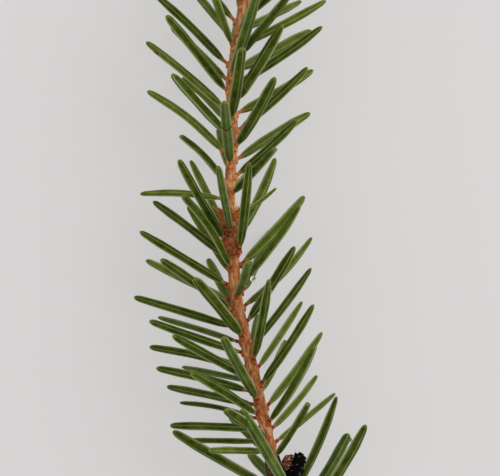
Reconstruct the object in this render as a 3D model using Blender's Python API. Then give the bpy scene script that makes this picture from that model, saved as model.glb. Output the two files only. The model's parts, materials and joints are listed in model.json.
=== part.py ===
"""Cut twig of black spruce: two years of needled growth on a foot of older wood.

The twig lies on its lower needles with its tip towards +Y.  Lengths are given in
millimetres and turned into metres when a mesh is made.  Along the twig, distances
are counted from the node, where the bud scales of the last winter still stand.
Round the stem, 0 degrees is its right side and 90 degrees its upper side.
"""

import math
import random
from collections import namedtuple
from dataclasses import dataclass, field

import bmesh
import bpy
from mathutils import Vector

MM = 0.001
UP = Vector((0.0, 0.0, 1.0))
SEAT_GAP = 0.3
SEED = 27
SHARP_ANGLE = math.radians(40.0)
JUST_SHORT = 1e-6

# Heading of the stem in degrees right of +Y, where it bends.
BENDS = (
    (-41.0, -30.0),
    (-37.0, -34.0),
    (-34.0, -33.0),
    (-32.0, -18.0),
    (-30.0, -12.0),
    (-12.0, -13.5),
    (-8.5, -6.0),
    (-5.5, -2.0),
    (-3.0, -6.0),
    (3.0, 0.0),
    (8.0, 5.0),
    (13.0, -3.0),
    (17.0, -4.0),
    (20.0, 5.0),
    (23.0, 11.0),
    (42.0, 13.0),
)
BEND_STEP = 0.25

# Old wood, from the cut to the foot of the second year's shoot.
CUT = -40.5
OLD_WOOD_TOP = -30.45
OLD_WOOD_RADII = ((CUT, 1.35), (-36.0, 1.28), (-32.0, 1.22), (OLD_WOOD_TOP, 0.92))

# Second year's shoot, which swells where the bud scales sat.
SECOND_FOOT = OLD_WOOD_TOP + SEAT_GAP
SECOND_TOP = -0.15
SECOND_RADII = (
    (SECOND_FOOT, 0.78),
    (-27.0, 0.72),
    (-4.6, 0.70),
    (-3.1, 0.95),
    (-1.6, 1.18),
    (SECOND_TOP, 1.28),
)

# Cup of bud scales round the foot of the first year's shoot.
CUP_FOOT = SECOND_TOP + SEAT_GAP
CUP_FLOOR = 0.75
CUP_RIM = 1.95
CUP_FOOT_RADIUS = 1.3
CUP_RIM_RADIUS = 1.72
CUP_WALL = 0.25
CUP_FLOOR_ROOM = 0.36
CUP_MIDDLE_FLARE = 0.42
CUP_SCALES = 7
CUP_SCALE_POINTS = 3
CUP_SCALE_RISE = 0.22

# First year's shoot.
FIRST_FOOT = CUP_FLOOR + SEAT_GAP
FIRST_TOP = 37.6
FIRST_RADII = ((FIRST_FOOT, 0.62), (30.0, 0.58), (FIRST_TOP, 0.50))

STEM_SIDES = 12
STEM_RING_STEP = 1.0

# Buds: distance of the foot, side of the stem, opening, length, radius and height of lumps.
Bud = namedtuple("Bud", "name distance azimuth spread length radius lumps", defaults=(0.0,))
BUDS = (
    Bud("terminal_bud", FIRST_TOP + SEAT_GAP, 90.0, 0.0, 3.2, 1.05),
    Bud("side_bud_left", 36.4, 176.0, 38.0, 2.3, 0.78),
    Bud("side_bud_right", 35.6, 4.0, 40.0, 2.2, 0.74),
)
BUD_SIDES = 10
BUD_OUTLINE = ((0.0, 0.5), (0.12, 0.78), (0.32, 1.0), (0.58, 0.84), (0.82, 0.48), (0.97, 0.14))

# Dead bud on the right of the old wood, and the waves of its lumpy skin:
# number round the bud, turn from ring to ring, share of the height.
DEAD_BUD = Bud("dead_side_bud", -31.9, 8.0, 52.0, 3.0, 1.42, 0.13)
LUMP_WAVES = ((3, 2.1, 1.0), (5, -1.0, 0.6))

# Needles.
NEEDLE_LENGTH = 12.75
NEEDLE_WIDTH = 1.06
NEEDLE_HEIGHT = 1.0
NEEDLE_BOW = 6.0
BOW_SHARES = (0.2, 1.2)
NEEDLE_STEPS = 24
ROOT_DEPTH = 0.45
PEG_LENGTH = 0.75
PEG_RADIUS = 0.27
PEG_TOP_RADIUS = 0.24
HEADING_REACH = 0.02
# Share of the blade's length beyond the peg, and share of the full width there.
NEEDLE_OUTLINE = ((0.03, 0.56), (0.09, 0.88), (0.30, 1.0), (0.75, 0.98), (0.93, 0.84), (0.985, 0.5))
NEEDLE_TIP_SHARE = 0.3

# Spread of a needle from the stem's direction, in degrees.
SPREAD = 50.8
SPREAD_TO_THE_RIGHT = 1.9
SPREAD_LOST_ON_TOP = 8.6
FOOT_FROM = -10.0
FOOT_SPREAD = 0.93
FOOT_SPREAD_TO_THE_RIGHT = 0.60
TIP_FROM = 29.0
TIP_TO = 38.0
TIP_CLOSING = 20.0
TIP_SHORTENING = 0.22

# Degrees by which needles on top lean to the left, along the twig.
LEAN = ((-30.0, 0.0), (-24.0, 22.0), (-14.0, 20.0), (-3.0, 0.0), (3.0, -14.0))

# Small seeded differences: degrees round the stem, degrees of spread, share of length.
JITTER = (2.0, 1.5, 0.03)

# The twig stands on its lower needles, which end at the ground.
STEM_HEIGHT = 9.4
TIP_CLEARANCE = 0.2

# A needle that would touch another is turned step by step, or left out.
TURNS_TRIED = (0, 4, -4, 8, -8, 12, -12, 16, -16, 21, -21, 26, -26)
OWN_GAP = 0.04
OWN_ROOT_SHARE = 0.2
OTHER_GAP = 0.34
REACH = 16.0

# A needle that grew off the rule: turn and opening in degrees, share of the length.
Stray = namedtuple("Stray", "turn opening length", defaults=(0.0, 0.0, 1.0))

SECOND_STRAYS = {
    1: Stray(-33, -10),
    2: Stray(-18, 3, 0.96),
    3: Stray(-35, 11, 0.86),
    4: Stray(-13, 0, 0.97),
    5: Stray(7, 3),
    6: Stray(2, 0, 0.9),
    7: Stray(0, 2, 0.9),
    8: Stray(-8, 0, 1.08),
    9: Stray(-44, 2),
    10: Stray(-12, -10),
    11: Stray(-16, -5, 1.02),
    12: Stray(0, 0, 1.04),
    13: Stray(10, -8),
    14: Stray(0, -6),
    16: Stray(0, -4),
    17: Stray(-20, 7),
    18: Stray(9, 2),
    19: Stray(-18, 0),
    20: Stray(0, 5),
    21: Stray(-18, -6),
    23: Stray(0, 5),
    24: Stray(0, 0, 0.95),
    25: Stray(-23, 1),
    27: Stray(-35, 4, 0.8),
    28: Stray(0, 7, 1.06),
    29: Stray(-50, 4, 1.04),
    30: Stray(-12, -15),
    31: Stray(4, 6, 0.94),
    32: Stray(-35, 7, 0.97),
    33: Stray(-6, 8),
    34: Stray(-11, 24),
    36: Stray(8, 8),
    38: Stray(-11, -13),
    39: Stray(6, 2),
    40: Stray(0, -7),
    42: Stray(5, -9),
    44: Stray(-18, -12),
    45: Stray(-50, -12, 0.92),
    46: Stray(4, -14),
    47: Stray(0, 15),
    48: Stray(-17, 5, 0.87),
}
FIRST_STRAYS = {
    -1: Stray(-10, 36, 0.86),
    0: Stray(12, 24),
    1: Stray(5, 9),
    2: Stray(0, 8, 0.72),
    3: Stray(0, -5, 0.8),
    4: Stray(18, -1),
    5: Stray(4, 16),
    7: Stray(0, 6, 1.04),
    8: Stray(10, 2, 0.96),
    10: Stray(-7, 14),
    11: Stray(0, 0, 0.94),
    13: Stray(-5, 13),
    14: Stray(11, 6, 1.03),
    15: Stray(0, -2, 1.06),
    16: Stray(0, 0, 0.94),
    18: Stray(2, 6),
    19: Stray(0, 7, 1.06),
    20: Stray(0, -4),
    21: Stray(-10, 0),
    22: Stray(10, 2, 1.02),
    24: Stray(20, 6),
}

# The few needles left on the old wood: distance, azimuth, spread, share of the length.
OldNeedle = namedtuple("OldNeedle", "distance azimuth spread length")
OLD_NEEDLES = (
    OldNeedle(-33.2, 188.0, 36.0, 1.10),
    OldNeedle(-34.5, 265.0, 60.0, 0.95),
    OldNeedle(-34.8, 95.0, 30.0, 1.02),
    OldNeedle(-35.2, 0.0, 56.0, 0.96),
    OldNeedle(-36.6, 215.0, 62.0, 0.95),
    OldNeedle(-37.4, 330.0, 67.0, 0.92),
    OldNeedle(-38.4, 5.0, 66.0, 1.00),
    OldNeedle(-38.9, 122.0, 52.0, 0.90),
    OldNeedle(-39.5, 252.0, 58.0, 0.90),
)


@dataclass(frozen=True)
class Spiral:
    """Rule by which one year's needles follow each other up and round the shoot."""

    lowest: float
    spacing: float
    spacing_growth: float
    azimuth: float
    divergence: float
    first: int
    last: int
    bottom: float
    top: float
    strays: dict = field(default_factory=dict)

    def place(self, number):
        """Distance along the stem and azimuth of a needle."""
        distance = self.lowest + self.spacing * number + 0.5 * self.spacing_growth * number**2
        azimuth = (self.azimuth - self.divergence * number) % 360.0
        return min(max(distance, self.bottom), self.top), azimuth


# Room between a shoot's ends and the middle of its first and last pegs.
SECOND_PEG_ROOM = (0.35, 0.45)
FIRST_PEG_ROOM = (1.1, 0.4)

SECOND_SPIRAL = Spiral(
    lowest=-30.0,
    spacing=0.561,
    spacing_growth=0.0031,
    azimuth=54.8,
    divergence=136.94,
    first=0,
    last=48,
    bottom=SECOND_FOOT + SECOND_PEG_ROOM[0],
    top=SECOND_TOP - SECOND_PEG_ROOM[1],
    strays=SECOND_STRAYS,
)
FIRST_SPIRAL = Spiral(
    lowest=3.59,
    spacing=0.73,
    spacing_growth=-0.00225,
    azimuth=62.0,
    divergence=135.71,
    first=-1,
    last=51,
    bottom=CUP_RIM + FIRST_PEG_ROOM[0],
    top=FIRST_TOP - FIRST_PEG_ROOM[1],
    strays=FIRST_STRAYS,
)

# What a needle grows from: the stem's radius, its place, and its own shape.
Plan = namedtuple("Plan", "radius distance azimuth spread length bow")

# Colours as linear red, green and blue, with a roughness.
FINISHES = {
    "old_bark": ((0.070, 0.045, 0.032), 0.85),
    "second_year_bark": ((0.36, 0.115, 0.040), 0.7),
    "first_year_bark": ((0.42, 0.150, 0.055), 0.7),
    "scale_brown": ((0.30, 0.095, 0.030), 0.6),
    "bud_brown": ((0.22, 0.075, 0.030), 0.5),
    "dead_black": ((0.012, 0.010, 0.009), 0.9),
    "needle_green": ((0.050, 0.100, 0.018), 0.45),
}


def read_between(pairs, at):
    """Value at a place between the pairs (place, value), straight from one to the next."""
    if at <= pairs[0][0]:
        return pairs[0][1]
    for (low, value), (high, next_value) in zip(pairs, pairs[1:]):
        if at <= high:
            return value + (next_value - value) * (at - low) / (high - low)
    return pairs[-1][1]


def smooth_step(low, high, at):
    """Rises smoothly from 0 at low to 1 at high."""
    share = min(max((at - low) / (high - low), 0.0), 1.0)
    return share * share * (3.0 - 2.0 * share)


class StemLine:
    """Middle line of the stem, level and bending from side to side."""

    def __init__(self):
        """Walks the line from the cut and then sets its zero at the node."""
        self.points = [Vector((0.0, 0.0, 0.0))]
        self.steps = int((BENDS[-1][0] - CUT) / BEND_STEP)
        for step in range(self.steps):
            middle = CUT + (step + 0.5) * BEND_STEP
            self.points.append(self.points[-1] + self.direction(middle) * BEND_STEP)
        node = self.raw_point(0.0)
        self.points = [point - node for point in self.points]

    def direction(self, distance):
        """Unit vector along the stem."""
        heading = math.radians(read_between(BENDS, distance))
        return Vector((math.sin(heading), math.cos(heading), 0.0))

    def right(self, distance):
        """Unit vector to the right of the stem."""
        return self.direction(distance).cross(UP)

    def raw_point(self, distance):
        """Point of the walked line at a distance."""
        steps = min(max((distance - CUT) / BEND_STEP, 0.0), self.steps - JUST_SHORT)
        index = int(steps)
        return self.points[index].lerp(self.points[index + 1], steps - index)

    def point(self, distance):
        """Point on the middle line, carried straight on past its ends."""
        beyond = distance - min(max(distance, CUT), BENDS[-1][0])
        return self.raw_point(distance) + self.direction(distance) * beyond

    def radial(self, distance, azimuth):
        """Unit vector straight out of the stem."""
        turn = math.radians(azimuth)
        return self.right(distance) * math.cos(turn) + UP * math.sin(turn)

    def outward(self, distance, azimuth, spread):
        """Unit vector that leaves the stem's direction by the spread."""
        opening = math.radians(spread)
        along = self.direction(distance) * math.cos(opening)
        return along + self.radial(distance, azimuth) * math.sin(opening)


class Crowd:
    """Centre lines of what already has its place, to keep new needles clear of it."""

    def __init__(self):
        """Starts empty."""
        self.members = []

    def add(self, mass, points, radii):
        """Adds a line with a radius at each of its points."""
        self.members.append((mass, points, radii))

    def is_clear(self, mass, points, radii):
        """True where a needle keeps its gap to every member."""
        middle = points[len(points) // 2]
        past_root = round(OWN_ROOT_SHARE * len(points))
        for other_mass, others, other_radii in self.members:
            if (others[len(others) // 2] - middle).length > REACH:
                continue
            own = other_mass == mass
            first = past_root if own else 0
            gap = OWN_GAP if own else OTHER_GAP
            if not lines_are_clear(points[first:], radii[first:], others, other_radii, gap):
                return False
        return True


def gap_to_stretch(point, start, end, start_radius, end_radius):
    """Gap from a point to a flat-ended round stretch."""
    along = end - start
    length = along.length
    offset = point - start
    travel = offset.dot(along) / length
    out = math.sqrt(max(0.0, offset.length_squared - travel * travel))
    share = min(max(travel / length, 0.0), 1.0)
    beside = out - (start_radius + (end_radius - start_radius) * share)
    past_end = max(-travel, travel - length, 0.0)
    return math.hypot(past_end, max(beside, 0.0)) if past_end else beside


def lines_are_clear(points, radii, others, other_radii, gap):
    """True where each point of one line keeps its radius and the gap from the other line."""
    for point, radius in zip(points, radii):
        for index in range(len(others) - 1):
            ends = others[index], others[index + 1]
            end_radii = other_radii[index], other_radii[index + 1]
            if gap_to_stretch(point, *ends, *end_radii) < radius + gap:
                return False
    return True


@dataclass(frozen=True)
class Needle:
    """Line and widths of one needle, from its root in the wood to its tip."""

    root: Vector
    foot: Vector
    line: list
    side: Vector
    length: float

    def radii(self):
        """Half width along the line, for the test against its neighbours."""
        share_step = 1.0 / (len(self.line) - 1)
        return [self.half_width(index * share_step) for index in range(len(self.line))]

    def peg_share(self):
        """Share of the length that the peg takes."""
        return PEG_LENGTH / self.length

    def half_width(self, share):
        """Half width at a share of the length."""
        peg = self.peg_share()
        if share <= peg:
            return PEG_RADIUS
        return 0.5 * NEEDLE_WIDTH * read_between(NEEDLE_OUTLINE, (share - peg) / (1.0 - peg))

    def point(self, share):
        """Point on the needle's line."""
        stretches = len(self.line) - 1
        steps = min(share * stretches, stretches - JUST_SHORT)
        index = int(steps)
        return self.line[index].lerp(self.line[index + 1], steps - index)

    def ring(self, share, half_width, half_height):
        """Four corners of the needle's section."""
        before = self.point(max(share - HEADING_REACH, 0.0))
        ahead = self.point(min(share + HEADING_REACH, 1.0)) - before
        across = (self.side - ahead * (self.side.dot(ahead) / ahead.length_squared)).normalized()
        over = across.cross(ahead).normalized()
        middle = self.point(share)
        corners = (across * half_width, over * half_height, -across * half_width, -over * half_height)
        return [middle + corner for corner in corners]

    def rings(self):
        """Sections from the root in the wood to the blunt tip."""
        foot_ring = self.ring(0.0, PEG_RADIUS, PEG_RADIUS)
        rings = [[corner + self.root - self.foot for corner in foot_ring], foot_ring]
        peg = self.peg_share()
        rings.append(self.ring(peg, PEG_TOP_RADIUS, PEG_TOP_RADIUS))
        for share, width in NEEDLE_OUTLINE:
            half = 0.5 * width
            place = peg + (1.0 - peg) * share
            rings.append(self.ring(place, half * NEEDLE_WIDTH, half * NEEDLE_HEIGHT))
        half = 0.5 * NEEDLE_TIP_SHARE * NEEDLE_OUTLINE[-1][1]
        rings.append(self.ring(1.0, half * NEEDLE_WIDTH, half * NEEDLE_HEIGHT))
        return rings


def grow_needle(stem, plan):
    """Needle that bows forward and ends at the ground where it would pass it."""
    radial = stem.radial(plan.distance, plan.azimuth)
    axis = stem.point(plan.distance)
    foot = axis + radial * plan.radius
    root = axis + radial * (plan.radius - ROOT_DEPTH)
    length = plan.length
    line = [foot]
    for step in range(NEEDLE_STEPS):
        share = (step + 0.5) / NEEDLE_STEPS
        spread = plan.spread + plan.bow * (1.0 - 2.0 * share)
        heading = stem.outward(plan.distance, plan.azimuth, spread)
        line.append(line[-1] + heading * (length / NEEDLE_STEPS))
    drop = foot.z - line[-1].z
    room = foot.z + STEM_HEIGHT - TIP_CLEARANCE
    if drop > room:
        length *= room / drop
        line = [foot + (point - foot) * (room / drop) for point in line]
    across = stem.direction(plan.distance).cross(radial)
    return Needle(root, foot, line, across, length)


def usual_spread(distance, azimuth):
    """Spread that the rule gives a needle."""
    to_the_right = math.cos(math.radians(azimuth))
    upward = math.sin(math.radians(azimuth))
    foot = max(0.0, FOOT_FROM - distance)
    spread = SPREAD + SPREAD_TO_THE_RIGHT * to_the_right - SPREAD_LOST_ON_TOP * upward
    spread += foot * (FOOT_SPREAD - FOOT_SPREAD_TO_THE_RIGHT * to_the_right)
    return spread - TIP_CLOSING * smooth_step(TIP_FROM, TIP_TO, distance)


def lean(distance, azimuth):
    """Turn to the left of a needle on top of the stem."""
    return read_between(LEAN, distance) * max(0.0, math.sin(math.radians(azimuth)))


def clear_needles(stem, crowd, mass, plans):
    """Needles grown one after another, each at the first turn that keeps it clear."""
    needles = []
    for plan in plans:
        for turn in TURNS_TRIED:
            needle = grow_needle(stem, plan._replace(azimuth=plan.azimuth + turn))
            points = needle.line[1::2]
            radii = needle.radii()[1::2]
            if crowd.is_clear(mass, points, radii):
                crowd.add(mass, points, radii)
                needles.append(needle)
                break
    return needles


def spiral_plans(spiral, radii, chance):
    """Plans for the needles of one year's shoot."""
    plans = []
    for number in range(spiral.first, spiral.last + 1):
        distance, azimuth = spiral.place(number)
        stray = spiral.strays.get(number, Stray())
        spread = usual_spread(distance, azimuth) + stray.opening + chance.uniform(-1, 1) * JITTER[1]
        shorter = 1.0 - TIP_SHORTENING * smooth_step(TIP_FROM, TIP_TO, distance)
        length = NEEDLE_LENGTH * stray.length * shorter * (1.0 + chance.uniform(-1, 1) * JITTER[2])
        azimuth += lean(distance, azimuth) + stray.turn + chance.uniform(-1, 1) * JITTER[0]
        bow = NEEDLE_BOW * chance.uniform(*BOW_SHARES)
        plans.append(Plan(read_between(radii, distance), distance, azimuth, spread, length, bow))
    return plans


def old_wood_plans():
    """Plans for the needles that the old wood has kept."""
    plans = []
    for kept in OLD_NEEDLES:
        radius = read_between(OLD_WOOD_RADII, kept.distance)
        length = NEEDLE_LENGTH * kept.length
        plans.append(Plan(radius, kept.distance, kept.azimuth, kept.spread, length, NEEDLE_BOW))
    return plans


def make_finish(name):
    """Principled material with the finish's colour and roughness."""
    colour, roughness = FINISHES[name]
    material = bpy.data.materials.new(name)
    material.use_nodes = True
    shader = material.node_tree.nodes["Principled BSDF"]
    shader.inputs["Base Color"].default_value = (*colour, 1.0)
    shader.inputs["Roughness"].default_value = roughness
    shader.inputs["Metallic"].default_value = 0.0
    return material


def make_body(name, rings, material, smooth=True):
    """Closed object whose skin runs from ring to ring, with flat ends."""
    shape = bmesh.new()
    rows = [[shape.verts.new(point * MM) for point in ring] for ring in rings]
    sides = len(rows[0])
    for row, next_row in zip(rows, rows[1:]):
        for index in range(sides):
            after = (index + 1) % sides
            shape.faces.new((row[index], row[after], next_row[after], next_row[index]))
    shape.faces.new(reversed(rows[0]))
    shape.faces.new(rows[-1])
    bmesh.ops.recalc_face_normals(shape, faces=shape.faces)
    mesh = bpy.data.meshes.new(name)
    shape.to_mesh(mesh)
    shape.free()
    mesh.materials.append(material)
    if smooth:
        mesh.shade_smooth()
        mesh.set_sharp_from_angle(angle=SHARP_ANGLE)
    body = bpy.data.objects.new(name, mesh)
    bpy.context.scene.collection.objects.link(body)
    return body


def round_ring(centre, right, over, radii):
    """Ring of points round a centre, one at each of the radii."""
    ring = []
    for index, radius in enumerate(radii):
        turn = 2.0 * math.pi * index / len(radii)
        ring.append(centre + right * (radius * math.cos(turn)) + over * (radius * math.sin(turn)))
    return ring


def stem_rings(stem, radii, foot, top):
    """Rings along a stretch of stem."""
    count = max(2, round((top - foot) / STEM_RING_STEP))
    rings = []
    for index in range(count + 1):
        distance = foot + (top - foot) * index / count
        ring_radii = [read_between(radii, distance)] * STEM_SIDES
        rings.append(round_ring(stem.point(distance), stem.right(distance), UP, ring_radii))
    return rings


def cup_ring(stem, distance, radius, rise):
    """Ring of the cup on which the tip of each scale rises."""
    radii = [radius] * (CUP_SCALES * CUP_SCALE_POINTS)
    points = round_ring(stem.point(distance), stem.right(distance), UP, radii)
    lift = stem.direction(distance) * rise
    for index in range(CUP_SCALE_POINTS // 2, len(points), CUP_SCALE_POINTS):
        points[index] += lift
    return points


def cup_rings(stem):
    """Rings up the outside of the cup, over its rim and down its inside to the floor."""
    middle = 0.5 * (CUP_FOOT + CUP_RIM)
    middle_radius = CUP_FOOT_RADIUS + (CUP_RIM_RADIUS - CUP_FOOT_RADIUS) * CUP_MIDDLE_FLARE
    floor_radius = read_between(FIRST_RADII, FIRST_FOOT) + CUP_FLOOR_ROOM
    return [
        cup_ring(stem, CUP_FOOT, CUP_FOOT_RADIUS, 0.0),
        cup_ring(stem, middle, middle_radius, 0.0),
        cup_ring(stem, CUP_RIM, CUP_RIM_RADIUS, CUP_SCALE_RISE),
        cup_ring(stem, CUP_RIM, CUP_RIM_RADIUS - CUP_WALL, CUP_SCALE_RISE),
        cup_ring(stem, CUP_FLOOR, floor_radius, 0.0),
    ]


def lump(turn, step):
    """Share of the lumps' height at a turn round a ring."""
    return sum(height * math.sin(count * turn + shift * step) for count, shift, height in LUMP_WAVES)


def bud_rings(stem, bud, stem_radii):
    """Rings of an egg-shaped bud that starts a seat gap clear of the stem."""
    opening = math.radians(bud.spread)
    ahead = stem.outward(bud.distance, bud.azimuth, bud.spread)
    right = ahead.cross(UP).normalized()
    over = right.cross(ahead)
    foot = stem.point(bud.distance)
    if bud.spread:
        foot_radius = bud.radius * BUD_OUTLINE[0][1]
        stem_radius = read_between(stem_radii, bud.distance + foot_radius * math.sin(opening))
        out = stem_radius + SEAT_GAP + foot_radius * math.cos(opening)
        foot += stem.radial(bud.distance, bud.azimuth) * out
    rings = []
    for step, (share, width) in enumerate(BUD_OUTLINE):
        turns = [2.0 * math.pi * index / BUD_SIDES for index in range(BUD_SIDES)]
        radii = [bud.radius * width * (1.0 + bud.lumps * lump(turn, step)) for turn in turns]
        rings.append(round_ring(foot + ahead * (bud.length * share), right, over, radii))
    return rings


def add_bud_to_crowd(crowd, name, rings):
    """Stands for a bud among the pieces that needles keep clear of."""
    centres = [sum(ring, Vector()) / len(ring) for ring in rings]
    radii = [max((point - centre).length for point in ring) for centre, ring in zip(centres, rings)]
    crowd.add(name, centres, radii)


def add_stem_to_crowd(crowd, stem, name, radii, foot, top):
    """Stands for a stretch of stem among the pieces that needles keep clear of."""
    count = max(2, round((top - foot) / STEM_RING_STEP))
    for index in range(count):
        ends = [foot + (top - foot) * step / count for step in (index, index + 1)]
        crowd.add(name, [stem.point(end) for end in ends], [read_between(radii, end) for end in ends])


def fuse(body, needles, material):
    """Joins the needles to their stem in one closed body and clears them away."""
    gathered = bpy.data.collections.new(body.name + "_needles")
    bpy.context.scene.collection.children.link(gathered)
    pieces = []
    for index, needle in enumerate(needles):
        piece = make_body(f"{body.name}_needle_{index}", needle.rings(), material, smooth=False)
        gathered.objects.link(piece)
        pieces.append(piece)
    union = body.modifiers.new("Fuse", "BOOLEAN")
    union.operation = "UNION"
    union.operand_type = "COLLECTION"
    union.collection = gathered
    union.solver = "EXACT"
    union.material_mode = "TRANSFER"
    bpy.context.view_layer.update()
    evaluated = body.evaluated_get(bpy.context.evaluated_depsgraph_get())
    fused = bpy.data.meshes.new_from_object(evaluated)
    body.modifiers.clear()
    body.data = fused
    for piece in pieces:
        bpy.data.objects.remove(piece)
    bpy.data.collections.remove(gathered)


def set_down(bodies):
    """Hangs the bodies on an empty that sets the twig down on the ground, in the middle."""
    corners = [body.matrix_world @ vertex.co for body in bodies for vertex in body.data.vertices]
    low = [min(corner[axis] for corner in corners) for axis in range(3)]
    high = [max(corner[axis] for corner in corners) for axis in range(3)]
    twig = bpy.data.objects.new("twig", None)
    bpy.context.scene.collection.objects.link(twig)
    for body in bodies:
        body.parent = twig
    twig.location = (-0.5 * (low[0] + high[0]), -0.5 * (low[1] + high[1]), -low[2])
    bpy.context.view_layer.update()


def build_twig():
    """Builds every piece of the twig and sets it down."""
    for item in list(bpy.data.objects):
        bpy.data.objects.remove(item)
    finish = {name: make_finish(name) for name in FINISHES}
    stem = StemLine()
    crowd = Crowd()
    chance = random.Random(SEED)

    stretches = (
        ("old_wood", OLD_WOOD_RADII, CUT, OLD_WOOD_TOP, "old_bark"),
        ("second_year_shoot", SECOND_RADII, SECOND_FOOT, SECOND_TOP, "second_year_bark"),
        ("first_year_shoot", FIRST_RADII, FIRST_FOOT, FIRST_TOP, "first_year_bark"),
    )
    bodies = {}
    for name, radii, foot, top, bark in stretches:
        add_stem_to_crowd(crowd, stem, name, radii, foot, top)
        bodies[name] = make_body(name, stem_rings(stem, radii, foot, top), finish[bark])

    cup_radii = ((CUP_FOOT, CUP_FOOT_RADIUS), (CUP_RIM, CUP_RIM_RADIUS))
    add_stem_to_crowd(crowd, stem, "bud_scale_cup", cup_radii, CUP_FOOT, CUP_RIM)
    bodies["bud_scale_cup"] = make_body("bud_scale_cup", cup_rings(stem), finish["scale_brown"])
    for bud in (*BUDS, DEAD_BUD):
        dead = bud is DEAD_BUD
        rings = bud_rings(stem, bud, OLD_WOOD_RADII if dead else FIRST_RADII)
        add_bud_to_crowd(crowd, bud.name, rings)
        bodies[bud.name] = make_body(bud.name, rings, finish["dead_black" if dead else "bud_brown"])

    plans = {
        "old_wood": old_wood_plans(),
        "second_year_shoot": spiral_plans(SECOND_SPIRAL, SECOND_RADII, chance),
        "first_year_shoot": spiral_plans(FIRST_SPIRAL, FIRST_RADII, chance),
    }
    needles = {name: clear_needles(stem, crowd, name, grown) for name, grown in plans.items()}
    for name, grown in needles.items():
        fuse(bodies[name], grown, finish["needle_green"])
    set_down(list(bodies.values()))


build_twig()
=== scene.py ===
"""Looks of a cut black spruce twig: bark, pegs, needles, bud scales and buds.

Lengths are in millimetres and turned into metres when a mesh is made.  Along the
twig, distances are counted from the node, where the bud scales of the last winter
still stand.  Round the stem, 0 degrees is its right side and 90 its upper side.
"""

import json
import logging
import math
import random
from collections.abc import Callable, Iterable, Sequence
from dataclasses import dataclass, field
from enum import Enum
from typing import Any

import bpy
import numpy as np
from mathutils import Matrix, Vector, noise

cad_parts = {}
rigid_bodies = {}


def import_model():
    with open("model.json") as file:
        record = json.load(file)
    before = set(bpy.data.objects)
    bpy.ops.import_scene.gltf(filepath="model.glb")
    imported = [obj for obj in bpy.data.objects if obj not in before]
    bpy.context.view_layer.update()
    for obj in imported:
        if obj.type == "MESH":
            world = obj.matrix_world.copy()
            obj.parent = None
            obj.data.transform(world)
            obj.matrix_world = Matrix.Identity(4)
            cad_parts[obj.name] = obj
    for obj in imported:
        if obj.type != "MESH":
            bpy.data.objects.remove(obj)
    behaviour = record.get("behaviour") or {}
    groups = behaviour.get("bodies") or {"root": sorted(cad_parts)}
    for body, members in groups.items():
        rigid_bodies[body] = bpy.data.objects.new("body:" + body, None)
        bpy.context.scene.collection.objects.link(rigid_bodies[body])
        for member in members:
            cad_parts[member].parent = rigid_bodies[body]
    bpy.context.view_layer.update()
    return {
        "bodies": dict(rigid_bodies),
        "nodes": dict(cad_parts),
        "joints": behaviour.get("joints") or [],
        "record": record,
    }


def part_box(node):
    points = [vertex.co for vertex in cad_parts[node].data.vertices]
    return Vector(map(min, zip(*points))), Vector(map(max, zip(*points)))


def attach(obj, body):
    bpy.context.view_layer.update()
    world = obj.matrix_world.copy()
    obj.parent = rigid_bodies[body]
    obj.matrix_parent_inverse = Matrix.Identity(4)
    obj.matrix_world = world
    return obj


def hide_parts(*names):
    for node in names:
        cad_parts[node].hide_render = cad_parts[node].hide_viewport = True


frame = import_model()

Array = np.ndarray
Pairs = Sequence[tuple[float, float]]
Colour = tuple[float, float, float]
Point = tuple[float, float, float]
Piece = bpy.types.Object
Material = bpy.types.Material

LOG = logging.getLogger("twig")
BODY = "root"
MM = 0.001
UP = np.array((0.0, 0.0, 1.0))
TAU = 2.0 * math.pi
SEAT_GAP = 0.3
SEED = 27
GOLDEN = 0.618

# Points so near to each other are merged, and points so near to a middle line lie on it.
WELD = 1e-5
ON_AXIS = 1e-4

# Heading of the stem in degrees right of +Y, where it bends.
BENDS = (
    (-41.0, -30.0), (-37.0, -34.0), (-34.0, -33.0), (-32.0, -18.0), (-30.0, -12.0), (-12.0, -13.5),
    (-8.5, -6.0), (-5.5, -2.0), (-3.0, -6.0), (3.0, 0.0), (8.0, 5.0), (13.0, -3.0),
    (17.0, -4.0), (20.0, 5.0), (23.0, 11.0), (42.0, 13.0),
)
BEND_STEP = 0.25

# How far the young shoot really stands to the right of the solid's middle line.
SIDESTEPS = ((15.5, 0.0), (19.0, 0.32), (22.0, 0.45), (25.0, 0.42), (28.0, 0.25), (33.0, 0.0))

# Lengths and radii of the stem's stretches.
CUT = -40.5
OLD_WOOD_TOP = -30.45
OLD_WOOD_RADII = ((CUT, 1.35), (-36.0, 1.28), (-32.0, 1.22), (OLD_WOOD_TOP, 0.92))
SECOND_FOOT = OLD_WOOD_TOP + SEAT_GAP
SECOND_TOP = -0.15
SECOND_WAIST = ((-27.0, 0.72), (-4.6, 0.70), (-3.1, 0.95), (-1.6, 1.18))
SECOND_RADII = ((SECOND_FOOT, 0.78), *SECOND_WAIST, (SECOND_TOP, 1.28))
CUP_FOOT = SECOND_TOP + SEAT_GAP
CUP_FLOOR = 0.75
CUP_RIM = 1.95
CUP_FOOT_RADIUS = 1.3
CUP_RIM_RADIUS = 1.72
FIRST_FOOT = CUP_FLOOR + SEAT_GAP
FIRST_TOP = 37.6
FIRST_RADII = ((FIRST_FOOT, 0.62), (30.0, 0.58), (FIRST_TOP, 0.50))
STEM_RING_STEP = 1.0

# Needles and the pegs that carry them.
NEEDLE_LENGTH = 12.75
NEEDLE_WIDTH = 1.06
NEEDLE_HEIGHT = 1.0
NEEDLE_STEPS = 24
ROOT_DEPTH = 0.45
PEG_LENGTH = 0.75
PEG_RADIUS = 0.27
HEADING_REACH = 0.02
NEEDLE_OUTLINE = ((0.03, 0.56), (0.09, 0.88), (0.30, 1.0), (0.75, 0.98), (0.93, 0.84), (0.985, 0.5))

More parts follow.
